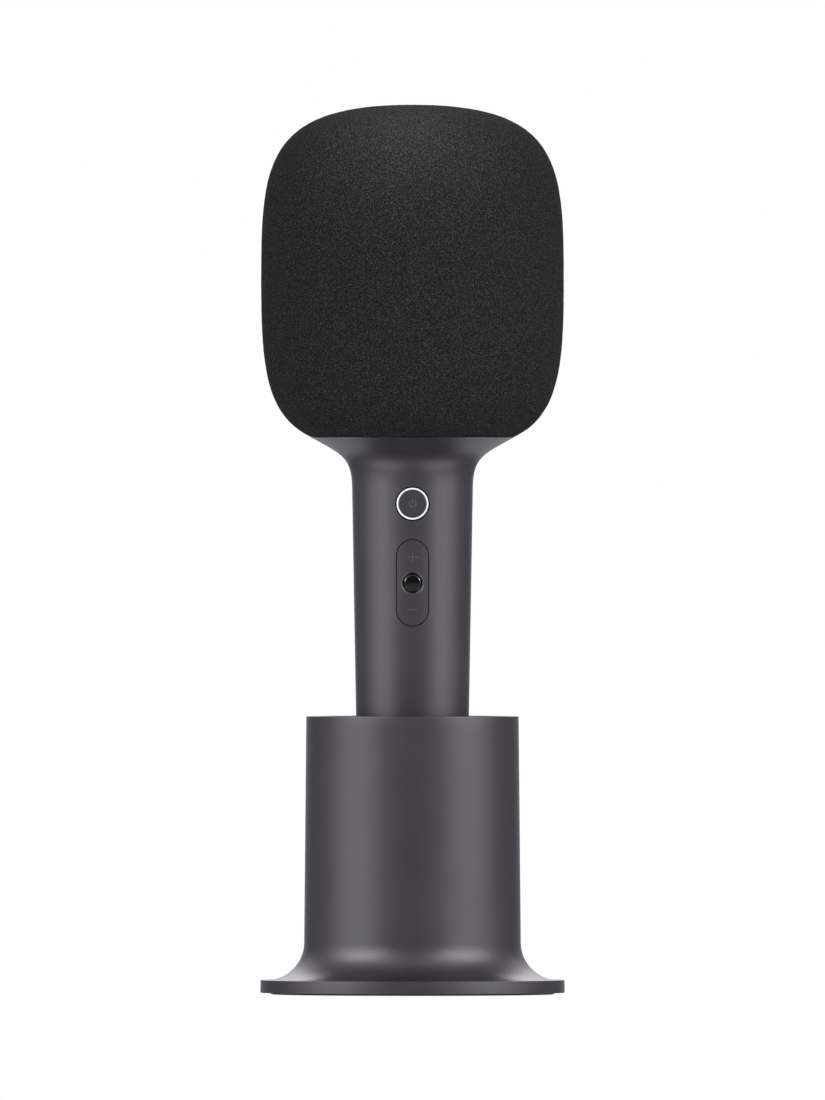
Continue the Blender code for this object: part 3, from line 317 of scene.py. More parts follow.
class Surface:
    """A Principled material and short ways to feed it procedural detail, all in object space."""

    def __init__(self, name, colour, roughness, metallic=0.0, **sockets):
        self.material = bpy.data.materials.new(name)
        self.material.use_nodes = True
        self.tree = self.material.node_tree
        self.shader = self.tree.nodes["Principled BSDF"]
        self.shader.inputs["Base Color"].default_value = (*colour, 1)
        self.shader.inputs["Roughness"].default_value = roughness
        self.shader.inputs["Metallic"].default_value = metallic
        for socket, value in sockets.items():
            self.shader.inputs[socket.replace("_", " ")].default_value = value
        self.space = self.add("ShaderNodeTexCoord").outputs["Object"]

    def add(self, kind, **settings):
        node = self.tree.nodes.new(kind)
        for key, value in settings.items():
            setattr(node, key, value)
        return node

    def link(self, source, target):
        self.tree.links.new(source, target)

    def stretched(self, scale):
        mapping = self.add("ShaderNodeMapping")
        mapping.inputs["Scale"].default_value = scale
        self.link(self.space, mapping.inputs["Vector"])
        return mapping.outputs["Vector"]

    def noise(self, per_mm, detail, roughness=0.55, space=None, distortion=0.0):
        node = self.add("ShaderNodeTexNoise")
        node.inputs["Scale"].default_value = per_mm / MM
        node.inputs["Detail"].default_value = detail
        node.inputs["Roughness"].default_value = roughness
        node.inputs["Distortion"].default_value = distortion
        self.link(space or self.space, node.inputs["Vector"])
        return node.outputs["Fac"]

    def cells(self, per_mm, feature="F1"):
        node = self.add("ShaderNodeTexVoronoi", feature=feature)
        node.inputs["Scale"].default_value = per_mm / MM
        self.link(self.space, node.inputs["Vector"])
        return node.outputs["Distance"]

    def turning_rings(self, per_mm):
        node = self.add("ShaderNodeTexWave", wave_type="RINGS", rings_direction="Z")
        node.inputs["Scale"].default_value = per_mm / MM
        self.link(self.space, node.inputs["Vector"])
        return node.outputs["Fac"]

    def spread(self, value, low, high, from_low=0.3, from_high=0.7):
        node = self.add("ShaderNodeMapRange")
        node.inputs["From Min"].default_value = from_low
        node.inputs["From Max"].default_value = from_high
        node.inputs["To Min"].default_value = low
        node.inputs["To Max"].default_value = high
        self.link(value, node.inputs["Value"])
        return node.outputs["Result"]

    def maths(self, operation, a, b):
        node = self.add("ShaderNodeMath", operation=operation)
        for socket, value in zip(node.inputs, (a, b)):
            if isinstance(value, (int, float)):
                socket.default_value = value
            else:
                self.link(value, socket)
        return node.outputs[0]

    def colours(self, value, stops):
        """A colour ramp from (place, colour) stops into the base colour."""
        ramp = self.add("ShaderNodeValToRGB")
        ramp.color_ramp.elements[0].position = stops[0][0]
        ramp.color_ramp.elements[-1].position = stops[-1][0]
        for place, _ in stops[1:-1]:
            ramp.color_ramp.elements.new(place)
        for element, (_, colour) in zip(ramp.color_ramp.elements, stops):
            element.color = (*colour, 1)
        self.link(value, ramp.inputs["Fac"])
        self.link(ramp.outputs["Color"], self.shader.inputs["Base Color"])

    def rough(self, value):
        self.link(value, self.shader.inputs["Roughness"])

    def bump(self, height, depth, strength):
        """Raises the surface by height times depth, in millimetres."""
        node = self.add("ShaderNodeBump")
        node.inputs["Strength"].default_value = strength
        node.inputs["Distance"].default_value = depth * MM
        self.link(height, node.inputs["Height"])
        self.link(node.outputs["Normal"], self.shader.inputs["Normal"])


def satin_metal():
    s = Surface("satin_coating", SATIN_COLOUR, 0.43, 1.0)
    cloud = s.noise(0.06, 2)
    grain = s.noise(5.0, 2, 0.6)
    s.colours(cloud, [(0.3, [c * 0.96 for c in SATIN_COLOUR]), (0.7, [c * 1.04 for c in SATIN_COLOUR])])
    s.rough(s.maths("ADD", s.spread(grain, 0.385, 0.435), s.spread(cloud, 0.0, 0.03)))
    s.bump(grain, 0.004, 0.6)
    return s.material


def foam():
    s = Surface("charcoal_foam", FOAM_COLOUR, 0.95, Specular_IOR_Level=0.05)
    pores = s.cells(2.5)
    strands = s.noise(5.0, 2, 0.6)
    mixed = s.maths("ADD", s.maths("MULTIPLY", pores, 0.55), s.maths("MULTIPLY", strands, 0.75))
    dark = [c * 0.2 for c in FOAM_COLOUR]
    light = [c * 2.6 for c in FOAM_COLOUR]
    # Painted shade in the pores and painted light on the strands between them: the colour is darker at the
    # pores' centres and lighter on the strands than the foam's own charcoal
    s.colours(mixed, [(0.42, dark), (0.62, FOAM_COLOUR), (0.85, light)])
    s.bump(mixed, 0.35, 0.9)
    return s.material


def gloss_black():
    s = Surface("gloss_black", (0.002, 0.002, 0.0025), 0.09)
    s.rough(s.spread(s.noise(1.2, 4), 0.07, 0.11))
    s.bump(s.noise(0.5, 1), 0.002, 0.4)
    return s.material


def bright_metal():
    s = Surface("bright_metal_finish", (0.33, 0.33, 0.345), 0.1, 1.0)
    turning = s.noise(6.0, 2, 0.5, s.stretched((1, 1, 6)))
    s.rough(s.spread(turning, 0.07, 0.13))
    s.bump(turning, 0.002, 0.5)
    return s.material


def steel(name="plated_steel", colour=(0.5, 0.5, 0.51), roughness=0.32):
    s = Surface(name, colour, roughness, 1.0)
    grain = s.noise(1.4, 4, 0.6, s.stretched((1, 1, 0.15)))
    s.colours(grain, [(0.3, [c * 0.85 for c in colour]), (0.7, [min(1, c * 1.1) for c in colour])])
    s.rough(s.spread(grain, roughness - 0.06, roughness + 0.08))
    s.bump(grain, 0.006, 0.4)
    return s.material


def iron():
    s = Surface("machined_iron", (0.14, 0.14, 0.15), 0.5, 0.9)
    rings = s.turning_rings(1.4)
    mottle = s.noise(0.5, 5, 0.7)
    s.colours(mottle, [(0.3, (0.08, 0.08, 0.085)), (0.7, (0.2, 0.19, 0.19))])
    s.rough(s.spread(mottle, 0.38, 0.62))
    s.bump(rings, 0.02, 0.3)
    return s.material


def light_guide():
    s = Surface("lit_guide", (0.8, 0.8, 0.8), 0.35, Emission_Strength=0.56)
    s.shader.inputs["Emission Color"].default_value = (1.0, 1.0, 1.0, 1)
    haze = s.noise(1.5, 2)
    s.colours(haze, [(0.3, (0.77, 0.77, 0.79)), (0.7, (0.83, 0.83, 0.83))])
    s.rough(s.spread(haze, 0.3, 0.4))
    return s.material


def black_plastic():
    s = Surface("black_plastic", (0.018, 0.018, 0.02), 0.5)
    grain = s.cells(3.2)
    s.rough(s.spread(grain, 0.42, 0.58))
    s.colours(s.noise(0.2, 3), [(0.3, (0.015, 0.015, 0.017)), (0.7, (0.022, 0.022, 0.024))])
    s.bump(grain, 0.02, 0.7)
    return s.material


def rubber():
    s = Surface("black_rubber", (0.014, 0.014, 0.014), 0.8, Specular_IOR_Level=0.3)
    grain = s.noise(2.4, 4, 0.6)
    s.colours(grain, [(0.3, (0.010, 0.010, 0.010)), (0.7, (0.022, 0.021, 0.021))])
    s.rough(s.spread(grain, 0.7, 0.9))
    s.bump(grain, 0.03, 0.6)
    return s.material


def guide_mask_and_gap_shade_paint():
    """The black mask paint on the light guide's sides, which also paints the shade in the gap round the
    ring.
    """
    s = Surface("guide_mask_and_gap_shade", (0.006, 0.006, 0.006), 0.6)
    speckle = s.noise(3.0, 3)
    s.colours(speckle, [(0.3, (0.004, 0.004, 0.004)), (0.7, (0.009, 0.009, 0.009))])
    s.bump(speckle, 0.004, 0.5)
    return s.material


def printed_mark():
    s = Surface("printed_mark", (0.165, 0.16, 0.175), 0.6)
    worn = s.noise(4.0, 3)
    s.colours(worn, [(0.3, (0.14, 0.135, 0.15)), (0.7, (0.185, 0.18, 0.195))])
    s.bump(worn, 0.004, 0.5)
    return s.material


def circuit_board():
    s = Surface("circuit_board", (0.012, 0.09, 0.035), 0.35, Coat_Weight=0.3)
    tracks = s.maths("LESS_THAN", s.cells(0.45, "DISTANCE_TO_EDGE"), 0.09)
    pads = s.maths("LESS_THAN", s.cells(0.7), 0.16)
    copper = s.maths("MAXIMUM", s.maths("MULTIPLY", tracks, 0.45), pads)
    s.colours(copper, [(0.0, (0.010, 0.075, 0.03)), (0.5, (0.02, 0.14, 0.055)), (1.0, (0.55, 0.45, 0.25))])
    s.rough(s.spread(copper, 0.4, 0.28, 0, 1))
    s.bump(copper, 0.03, 0.6)
    return s.material


def cell_wrap():
    s = Surface("cell_wrap", (0.04, 0.17, 0.4), 0.3, Coat_Weight=0.4)
    creases = s.noise(0.5, 4, 0.6, s.stretched((1, 1, 0.3)))
    # Painted shade in the creases: the colour is darker where the bump sinks into a crease and lighter on
    # the ridges
    s.colours(creases, [(0.3, (0.03, 0.14, 0.35)), (0.7, (0.05, 0.2, 0.46))])
    s.rough(s.spread(creases, 0.22, 0.4))
    s.bump(creases, 0.05, 0.4)
    return s.material


def paper_cone():
    s = Surface("paper_cone", (0.035, 0.035, 0.038), 0.8)
    fibres = s.noise(1.6, 6, 0.7, distortion=0.6)
    s.colours(fibres, [(0.3, (0.025, 0.025, 0.028)), (0.7, (0.06, 0.06, 0.062))])
    s.bump(fibres, 0.05, 0.6)
    return s.material


def insulation():
    s = Surface("lead_insulation", (0.35, 0.02, 0.015), 0.45)
    sheen = s.noise(1.0, 3)
    s.colours(sheen, [(0.3, (0.3, 0.015, 0.012)), (0.7, (0.42, 0.03, 0.02))])
    s.rough(s.spread(sheen, 0.38, 0.52))
    s.bump(sheen, 0.01, 0.3)
    return s.material


looks = {
    "satin_grey_metal": satin_metal(),
    "foam": foam(),
    "black_gloss": gloss_black(),
    "bright_metal": bright_metal(),
    "plated_steel": steel(),
    "screw_steel": steel("screw_steel", (0.3, 0.3, 0.31), 0.35),
    "ballast_iron": iron(),
    "light_guide": light_guide(),
    "black_plastic": black_plastic(),
    "rubber": rubber(),
    "circuit_board": circuit_board(),
    "cell_wrap": cell_wrap(),
    "paper_cone": paper_cone(),
    "lead_insulation": insulation(),
}
mark_paint = printed_mark()
guide_mask_and_gap_shade = guide_mask_and_gap_shade_paint()

for part in frame["record"]["subparts"]:
    node = frame["nodes"][part["node"]]
    node.data.materials.clear()
    node.data.materials.append(looks[part["material_slot"]])


# ---------------------------------------------------------------- head

FOAM_THICKNESS = 5.0
FOAM_MOUTH = 25.0
FOAM_GRID = 0.8  # spacing of the mesh down the foam's side
FOAM_SEGMENTS = 352
FOAM_LUMPS = 0.05  # height of the small lumps
FOAM_SWELL = 0.05  # height of the slow unevenness under them


def make_windscreen():
    """One foam shell whose skin is uneven at the size of its cells."""
    outer = even(head_outline(60), FOAM_GRID)
    inner = offset(head_outline(24), FOAM_THICKNESS)
    inner = [(0, inner[0][1]), *inner[1:]]
    lip = [(FOAM_EDGE_RADIUS - 0.2, SEAM_Z + 0.06), (SEAM_RADIUS - 0.9, SEAM_Z + 0.04)]
    mouth = [(FOAM_MOUTH, SEAM_Z + 0.04), (FOAM_MOUTH, SEAM_Z + 2.5)]
    profile = [*outer, *lip, *mouth, *reversed(inner)]
    obj = lathe("windscreen_foam", profile, FOAM_SEGMENTS)
    for vertex in obj.data.vertices:
        spot = vertex.co
        away = Vector((spot.x, spot.y, (spot.z - HEAD_WIDEST_Z * MM) * 0.8)).normalized()
        swell = noise.noise(spot / MM / 6.0)
        lumps = noise.noise(spot / MM / 1.1) + 0.6 * noise.noise(spot / MM / 0.6)
        vertex.co = spot + away * MM * (FOAM_LUMPS * lumps + FOAM_SWELL * swell)
    obj.data.shade_smooth()
    finish_piece(obj, looks["foam"], "microphone", "foam", "windscreen")


make_windscreen()

# ---------------------------------------------------------------- handle

POWER_HOLE_RADIUS = 5.0
PLATE_SIZE = (9.02, 24.85)
PLATE_GAP = 0.29
SHELL_GRID = 1.2


def make_handle():
    neck = neck_outline(40)
    inner = [p for p in offset(neck, -HANDLE_WALL) if p[0] < RIM_INNER_RADIUS - 0.3]
    low_edge = handle_radius(SHELL_BOTTOM_Z)
    rim_low = inner[-1][1] + (RIM_INNER_RADIUS - inner[-1][0]) * 0.58
    outside = [(low_edge - 0.2, SHELL_BOTTOM_Z), (low_edge, SHELL_BOTTOM_Z + 0.2), *even(neck, SHELL_GRID)]
    wall = even(outside[1:3], SHELL_GRID)
    profile = [
        outside[0],
        *wall[:-1],
        *outside[2:-1],
        (SEAM_RADIUS - 0.02, SEAM_Z - 0.2),
        (SEAM_RADIUS - 0.1, SEAM_Z - 0.04),
        (SEAM_RADIUS - 0.3, SEAM_Z),
        (RIM_INNER_RADIUS, SEAM_Z),
        (RIM_INNER_RADIUS, rim_low),
        *reversed(inner),
        (low_edge - HANDLE_WALL, SHELL_BOTTOM_Z),
    ]
    shell = lathe("handle_tube", profile, FINE)
    hole = lathe(
        "power_hole", [(0, 8), (POWER_HOLE_RADIUS, 8), (POWER_HOLE_RADIUS, 24), (0, 24)], ROUND,
        location=(0, 0, POWER_Z), rotation=FACING,
    )
    width, length = (size + 2 * PLATE_GAP for size in PLATE_SIZE)
    slot = slab("plate_hole", stadium(width, length), 8, 24, location=(0, 0, CONTROL_Z), rotation=FACING)
    carve(shell, hole, slot)
    finish_piece(shell, looks["satin_grey_metal"], "microphone", "satin_grey_metal", "handle_shell")


def make_end_cap():
    low = MIC_BOTTOM_Z
    edge = handle_radius(low)
    plug_top = top("end_cap")
    seat = SHELL_BOTTOM_Z - 0.3
    plug = 13.1
    profile = softened([
        (0, low), (edge, low, 0.9), (edge, seat), (plug, seat), (plug, plug_top, 0.3), (0, plug_top),
    ])
    cap = lathe("end_cap_turned", profile, FINE)
    usb, jack = middle("usb_shell"), middle("audio_jack")
    cutters = [
        slab("usb_slot", stadium(3.8, 9.6), 0, 30, location=(0, usb.y, 0), rotation=(0, 0, math.pi / 2)),
        lathe("jack_hole", [(0, 0), (3.1, 0), (3.1, 30), (0, 30)], SMALL, location=(0, jack.y, 0)),
    ]
    for i in (1, 2):
        spot = middle(f"end_cap_screw_{i}")
        ledge = low + 1.6
        bore = [(0, 0), (2.2, 0), (2.2, ledge), (1.3, ledge), (1.3, 30), (0, 30)]
        cutters.append(lathe(f"end_bore_{i}", bore, SMALL, location=(spot.x, 0, 0)))
    carve(cap, *cutters)
    chamfer(cap, 0.12)
    finish_piece(cap, looks["satin_grey_metal"], "microphone", "satin_grey_metal", "end_cap")


def make_sockets():
    low, high = bottom("usb_shell"), top("usb_shell")
    usb = middle("usb_shell")
    lying = {"location": (0, usb.y, 0), "rotation": (0, 0, math.pi / 2)}
    shell = slab("usb_socket_shell", stadium(3.2, 8.94), low, high, **lying)
    carve(shell, slab("usb_mouth", stadium(2.56, 8.34), low - 2, high - 0.6, **lying))
    chamfer(shell, 0.08)
    finish_piece(shell, looks["plated_steel"], "microphone", "plated_steel", "usb_shell")
    jack = middle("audio_jack")
    barrel = softened([
        (0, high - 0.8), (1.8, high - 0.8), (1.8, low, 0.25), (2.8, low, 0.25), (2.8, high), (0, high),
    ])
    socket = lathe("audio_socket", barrel, SMALL, location=(0, jack.y, 0))
    finish_piece(socket, looks["plated_steel"], "microphone", "plated_steel", "audio_jack")


def make_screw(node, body, shank_length, head, shank, height):
    """A pan head with a cross recess, head down."""
    low = bottom(node)
    spot = middle(node)
    seat = low + height
    tip = seat + shank_length
    profile = softened([
        (0, low), (head * 0.55, low), (head, low + height * 0.25, 0.35), (head, seat, 0.1), (shank, seat),
        (shank, tip - shank), (0, tip),
    ])
    where = {"location": (spot.x, spot.y, 0)}
    screw = lathe(node + "_turned", profile, SMALL, **where)
    arm, half = head * 0.55, head * 0.13
    cutters = []
    for outline in (rectangle(arm, half), rectangle(half, arm)):
        cutters.append(slab("recess", outline, low - 1, low + height * 0.6, **where))
    carve(screw, *cutters)
    finish_piece(screw, looks["screw_steel"], body, "screw_steel", node)


make_handle()
make_end_cap()
make_sockets()
for i in (1, 2):
    make_screw(f"end_cap_screw_{i}", "microphone", 11.0, 1.9, 1.0, 1.0)


# ---------------------------------------------------------------- controls

PLATE_FRONT = handle_radius(CONTROL_Z) - 0.04  # also the radius of the plate's face
RING_RADII = (4.14, 4.61)
CAP_RADIUS = 4.0
MARK_STROKE = 0.28
PLUS_Z = 127.15
MINUS_Z = 111.85
DISH_BORE_RADIUS = 2.87  # room for the knob to tilt
DISH_LIP_RADIUS = 3.5
KNOB_RADIUS = 2.32
KNOB_ROUNDING = 0.15
KNOB_CAP_SEAT = 2.15
KNOB_CAP_RISE = 0.28


def make_power():
    spot = {"location": (0, 0, POWER_Z), "rotation": FACING}
    back = -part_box("power_button")[1].y / MM
    cap = softened([
        (0, back), (5.2, back), (5.2, back + 0.7), (CAP_RADIUS, back + 0.7),
        (CAP_RADIUS, BUTTON_FRONT, 0.18), (0, BUTTON_FRONT),
    ])
    button = lathe("power_cap", cap, ROUND, **spot)
    body = "power_press_button"
    finish_piece(button, looks["satin_grey_metal"], body, "satin_grey_metal", "power_button")

    ring_front = front("light_ring")
    ring_back = -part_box("light_ring")[1].y / MM
    inner, outer = RING_RADII
    section = softened([
        (inner, ring_back), (6.5, ring_back), (6.5, ring_back + 0.9), (outer, ring_back + 0.9),
        (outer, ring_front, 0.08), (inner, ring_front, 0.08),
    ])
    guide = lathe("light_ring_guide", section, ROUND, **spot)
    finish_piece(guide, looks["light_guide"], "microphone", "light_guide", "light_ring")
    # The guide's sides and back take the black mask paint, which also stands in as painted shade in the
    # gap round the ring
    guide.data.materials.append(guide_mask_and_gap_shade)
    for face in guide.data.polygons:
        if face.center.z < (ring_front - 0.12) * MM:
            face.material_index = 1

    size = 0.95
    half = MARK_STROKE / 2
    sweep = arc((0, 0), size + half, 125, 415, 28) + arc((0, 0), size - half, 415, 125, 28)
    circle = slab("power_mark_circle", sweep, BUTTON_FRONT - 0.05, BUTTON_FRONT + 0.02, **spot)
    bar = [(-half, 0.1), (half, 0.1), (half, 1.25), (-half, 1.25)]
    stroke = slab("power_mark_bar", bar, BUTTON_FRONT - 0.05, BUTTON_FRONT + 0.02, **spot)
    for mark in (circle, stroke):
        finish_piece(mark, mark_paint, body, "satin_grey_metal")


def cross(half, stroke):
    """A plus sign's outline."""
    s = stroke / 2
    return [
        (-s, -half), (s, -half), (s, -s), (half, -s), (half, s), (s, s), (s, half), (-s, half),
        (-s, s), (-half, s), (-half, -s), (-s, -s),
    ]


def make_control():
    spot = {"location": (0, 0, CONTROL_Z), "rotation": FACING}
    plate = slab("control_inlay", stadium(*PLATE_SIZE, 32), 12.7, 18, **spot)
    barrel = lathe(
        "plate_crown", [(0, -40), (PLATE_FRONT, -40), (PLATE_FRONT, 40), (0, 40)], 720,
        location=(0, 0, CONTROL_Z), rotation=(math.atan(HANDLE_TAPER), 0, 0),
    )
    carve(plate, barrel, operation="INTERSECT")
    flange = slab("plate_flange", stadium(12, 28), 12.6, 13.4, **spot)
    carve(plate, flange, operation="UNION")
    hole, lip, above = DISH_BORE_RADIUS, DISH_LIP_RADIUS, 18.3
    profile = [
        (0, 10), (hole, 10), (hole, PLATE_FRONT - 0.46), (hole + 0.08, PLATE_FRONT - 0.33),
        (lip - 0.24, PLATE_FRONT - 0.11), (lip + 0.24, PLATE_FRONT + 0.11), (lip + 0.4, above), (0, above),
    ]
    dish = lathe("plate_dish", profile, ROUND, **spot)
    # The dish's slope follows the plate's own crown, so that its lip is the same width all round
    for vertex in dish.data.vertices:
        if vertex.co.z > 15 * MM:
            vertex.co.z -= PLATE_FRONT * MM - math.sqrt((PLATE_FRONT * MM) ** 2 - vertex.co.x**2)
    marks = []
    for name, outline, z in (
        ("plus", cross(1.5, MARK_STROKE), PLUS_Z),
        ("minus", rectangle(1.45, MARK_STROKE / 2), MINUS_Z),
    ):
        place = {"location": (0, 0, z), "rotation": FACING}
        face = PLATE_FRONT + HANDLE_TAPER * (z - CONTROL_Z)
        marks.append(slab(name + "_recess", outline, face - 0.12, 19, **place))
        infill = slab("mark_" + name, outline, face - 0.3, face - 0.05, **place)
        finish_piece(infill, mark_paint, "microphone", "satin_grey_metal")
    carve(plate, dish, *marks)
    smooth(plate, 15)
    finish_piece(plate, looks["satin_grey_metal"], "microphone", "satin_grey_metal", "control_plate")


def make_knob():
    spot = {"location": (0, 0, CONTROL_Z), "rotation": FACING}
    back = -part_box("joystick_bezel")[1].y / MM
    rim, bore = KNOB_RADIUS, KNOB_CAP_SEAT
    shoulder = KNOB_FRONT - 0.1 - KNOB_ROUNDING
    rounding = arc((rim - KNOB_ROUNDING, shoulder), KNOB_ROUNDING, 0, 90, 12)
    section = [
        (1.5, back), (rim - 0.12, back), (rim, back + 0.12), *rounding, (bore, KNOB_FRONT - 0.12),
        (bore - 0.02, KNOB_FRONT - 0.3), (bore - 0.02, KNOB_FRONT - 0.85), (1.5, KNOB_FRONT - 0.85),
    ]
    ring = lathe("knob_bezel", section, ROUND, **spot)
    finish_piece(ring, looks["bright_metal"], "joystick_knob", "bright_metal", "joystick_bezel")
    cap_back = -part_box("joystick_cap")[1].y / MM
    cap_front = KNOB_FRONT + 0.17
    edge = bore - 0.05
    ball = (edge * edge + KNOB_CAP_RISE * KNOB_CAP_RISE) / (2 * KNOB_CAP_RISE)
    half_angle = math.degrees(math.asin(edge / ball))
    dome = arc((0, cap_front - ball), ball, 90 - half_angle, 90, 18)
    profile = [
        (0, cap_back), (1.45, cap_back), (1.45, KNOB_FRONT - 0.8), (edge, KNOB_FRONT - 0.8),
        *dome[:-1], (0, cap_front),
    ]
    cap = lathe("knob_dome", profile, ROUND, **spot)
    finish_piece(cap, looks["black_gloss"], "joystick_knob", "black_gloss", "joystick_cap")


make_power()
make_control()
make_knob()


# ---------------------------------------------------------------- storage base


def make_stand():
    centre = (CUP_LOW_RADIUS + FILLET_RADIUS, FLANGE_TOP_Z + FILLET_RADIUS)
    inner_top = CUP_TOP_RADIUS - 2.0
    recess, recess_top = 42.3, 2.4
    inner_fillet = FILLET_RADIUS + 2.4
    meets = 180 + math.degrees(math.asin((centre[1] - recess_top) / inner_fillet))
    low, high, edge = FLANGE_BOTTOM_Z, FLANGE_TOP_Z, FLANGE_RADIUS
    flange = softened([
        (recess, low), (edge, low, 0.15), (edge - 0.05, high, 0.15), (centre[0], high),
    ], 5)
    rim = softened([
        (CUP_LOW_RADIUS, centre[1]), (CUP_TOP_RADIUS, BASE_HEIGHT, 0.38), (inner_top, BASE_HEIGHT, 0.2),
        (inner_top, BASE_HEIGHT - 4),
    ], 5)
    wall = even([(CUP_LOW_RADIUS, centre[1]), rim[1]], 4)
    profile = [
        *flange[:-1],
        *arc(centre, FILLET_RADIUS, 270, 180, 40),
        *wall[1:-1],
        *rim[1:-1],
        *arc(centre, inner_fillet, 180, meets, 24),
        (recess, recess_top),
    ]
    shell = lathe("stand_cup", profile, 256)
    finish_piece(shell, looks["satin_grey_metal"], "storage_base", "satin_grey_metal", "stand_shell")


def make_insert():
    clearance, wall = 0.5, 1.6
    deck, floor = top("stand_insert"), bottom("stand_insert")
    floor_top = floor + 1.8
    mouth = handle_radius(deck) + clearance
    low = handle_radius(floor_top) + clearance
    step = top("ballast_ring") + 0.3
    edge = CUP_TOP_RADIUS - 2.0 - 0.3
    drain = 4.0
    profile = softened([
        (drain, floor), (low + wall, floor, 0.6), (low + wall, step), (28.4, step), (28.4, step + 1.5),
        (low + wall + 0.2, step + 1.5), (mouth + wall, deck - 2), (edge, deck - 2), (edge, deck, 0.3),
        (mouth, deck, 1.1), (low, floor_top, 0.5), (drain, floor_top, 0.3),
    ], 6)
    insert = lathe("stand_well", profile, FINE)
    finish_piece(insert, looks["black_plastic"], "storage_base", "black_plastic", "stand_insert")
    pad_low, pad_top = bottom("insert_pad"), top("insert_pad")
    pad = softened([
        (drain + 1, pad_low), (low - 0.3, pad_low), (low - 0.3, pad_top, 0.35), (drain + 1, pad_top, 0.35),
    ])
    soft = lathe("well_pad", pad, ROUND)
    finish_piece(soft, looks["rubber"], "storage_base", "rubber", "insert_pad")


def make_underside():
    low, high = bottom("base_cover"), top("base_cover")
    plate_top = 2.1
    groove_in, groove_out, groove_top = 33.0, 41.7, 1.05
    rib_in, rib_out = 20.5, 27.6
    edge = 42.0
    profile = softened([
        (0, low), (groove_in, low, 0.1), (groove_in, groove_top), (groove_out, groove_top),
        (groove_out, low), (edge, low), (edge, plate_top), (rib_out, plate_top),
        (rib_out, high), (rib_in, high), (rib_in, plate_top), (0, plate_top),
    ], 3)
    cover = lathe("base_plate", profile, FINE)
    bores = []
    for i in (1, 2, 3):
        spot = middle(f"base_screw_{i}")
        hole = [(0, 0), (2.7, 0), (2.7, 2.6), (1.6, 2.6), (1.6, 11.5), (0, 11.5)]
        bores.append(lathe(f"base_bore_{i}", hole, SMALL, location=(spot.x, spot.y, 0)))
    carve(cover, *bores)
    chamfer(cover, 0.12, angle=60)
    finish_piece(cover, looks["black_plastic"], "storage_base", "black_plastic", "base_cover")

    inner, outer = groove_in + 0.3, groove_out - 0.3
    foot_top = top("rubber_foot")
    grooves = []
    for ring in (35.6, 37.4, 39.2):
        grooves += [(ring - 0.35, 0), (ring - 0.2, 0.22), (ring + 0.2, 0.22), (ring + 0.35, 0)]
    profile = [
        (inner, 0.3), (inner + 0.15, 0.12), (inner + 0.5, 0), *grooves,
        (outer - 0.7, 0), (outer - 0.25, 0.15), (outer, 0.5), (outer, foot_top), (inner, foot_top),
    ]
    foot = lathe("foot_ring", profile, FINE)
    finish_piece(foot, looks["rubber"], "storage_base", "rubber", "rubber_foot")


make_stand()
make_insert()
make_underside()
for i in (1, 2, 3):
    make_screw(f"base_screw_{i}", "storage_base", 8.2, 2.3, 1.2, 1.3)


# ---------------------------------------------------------------- studio


def aim(obj, azimuth, elevation, distance, target):
    """Places obj at a direction from the target, azimuth 0 being the front, and points it there."""
    a, e = math.radians(azimuth), math.radians(elevation)
    away = Vector((math.sin(a) * math.cos(e), -math.cos(a) * math.cos(e), math.sin(e)))
    obj.location = Vector(target) + away * distance
    obj.rotation_mode = "QUATERNION"
    obj.rotation_quaternion = (-away).to_track_quat("-Z", "Y")


CARD_DISTANCE = 1.5
STUDIO_CENTRE = (0, 0, 0.12)


def card(name, azimuths, elevations, radiance):
    """A soft reflection card that fills a window of directions, seen only in glossy surfaces."""
    width, height = (math.radians(span[1] - span[0]) for span in (azimuths, elevations))
    azimuth, elevation = sum(azimuths) / 2, sum(elevations) / 2
    light = bpy.data.lights.new(name, "AREA")
    light.shape = "RECTANGLE"
    light.size = 2 * CARD_DISTANCE * math.cos(math.radians(elevation)) * math.tan(width / 2)
    light.size_y = 2 * CARD_DISTANCE * math.tan(height / 2)
    light.energy = radiance * math.pi * light.size * light.size_y
    obj = bpy.data.objects.new(name, light)
    bpy.context.scene.collection.objects.link(obj)
    aim(obj, azimuth, elevation, CARD_DISTANCE, STUDIO_CENTRE)
    obj.visible_camera = False
    obj.visible_diffuse = False
    return obj


# How bright each kind of card looks in a mirror, where white paper is 1
LOW_LEVEL = 0.45
KEY_LEVEL = 0.9
BROW_LEVEL = 2.2
HIGH_LEVEL = 0.35
EDGE_LEVEL = 0.1
BACK_KEY_LEVEL = 2.5
BACK_SIDE_LEVEL = 0.7

# A pair of each, left and right: name, azimuths from the front, elevations, level
SIDE_CARDS = [
    ("floor", (25, 90), (-56, -26), LOW_LEVEL),
    ("skirt", (40, 90), (-14, -3), LOW_LEVEL),
    ("wall", (42, 82), (-3, 12), LOW_LEVEL),
    ("key", (35, 85), (12, 24), KEY_LEVEL),
    ("brow", (35, 85), (24, 38), BROW_LEVEL),
    ("high", (15, 75), (38, 60), HIGH_LEVEL),
    ("edge", (82, 105), (-5, 34), EDGE_LEVEL),
    ("back_side", (132, 157), (12, 34), BACK_SIDE_LEVEL),
]
# One of each, straight behind
BACK_CARDS = [
    ("back_low", (155, 205), (-50, -5), LOW_LEVEL),
    ("back_wall", (155, 205), (-5, 12), LOW_LEVEL),
    ("back_key", (157, 203), (12, 34), BACK_KEY_LEVEL),
]
# How bright the world is to each kind of ray
WORLD_LEVELS = {"Is Camera Ray": 1.0, "Is Diffuse Ray": 0.515, "Is Glossy Ray": 0.15}


def make_cards():
    for name, (near, far), elevations, level in SIDE_CARDS:
        card(f"left_{name}", (-far, -near), elevations, level)
        card(f"right_{name}", (near, far), elevations, level)
    for name, azimuths, elevations, level in BACK_CARDS:
        card(name, azimuths, elevations, level)


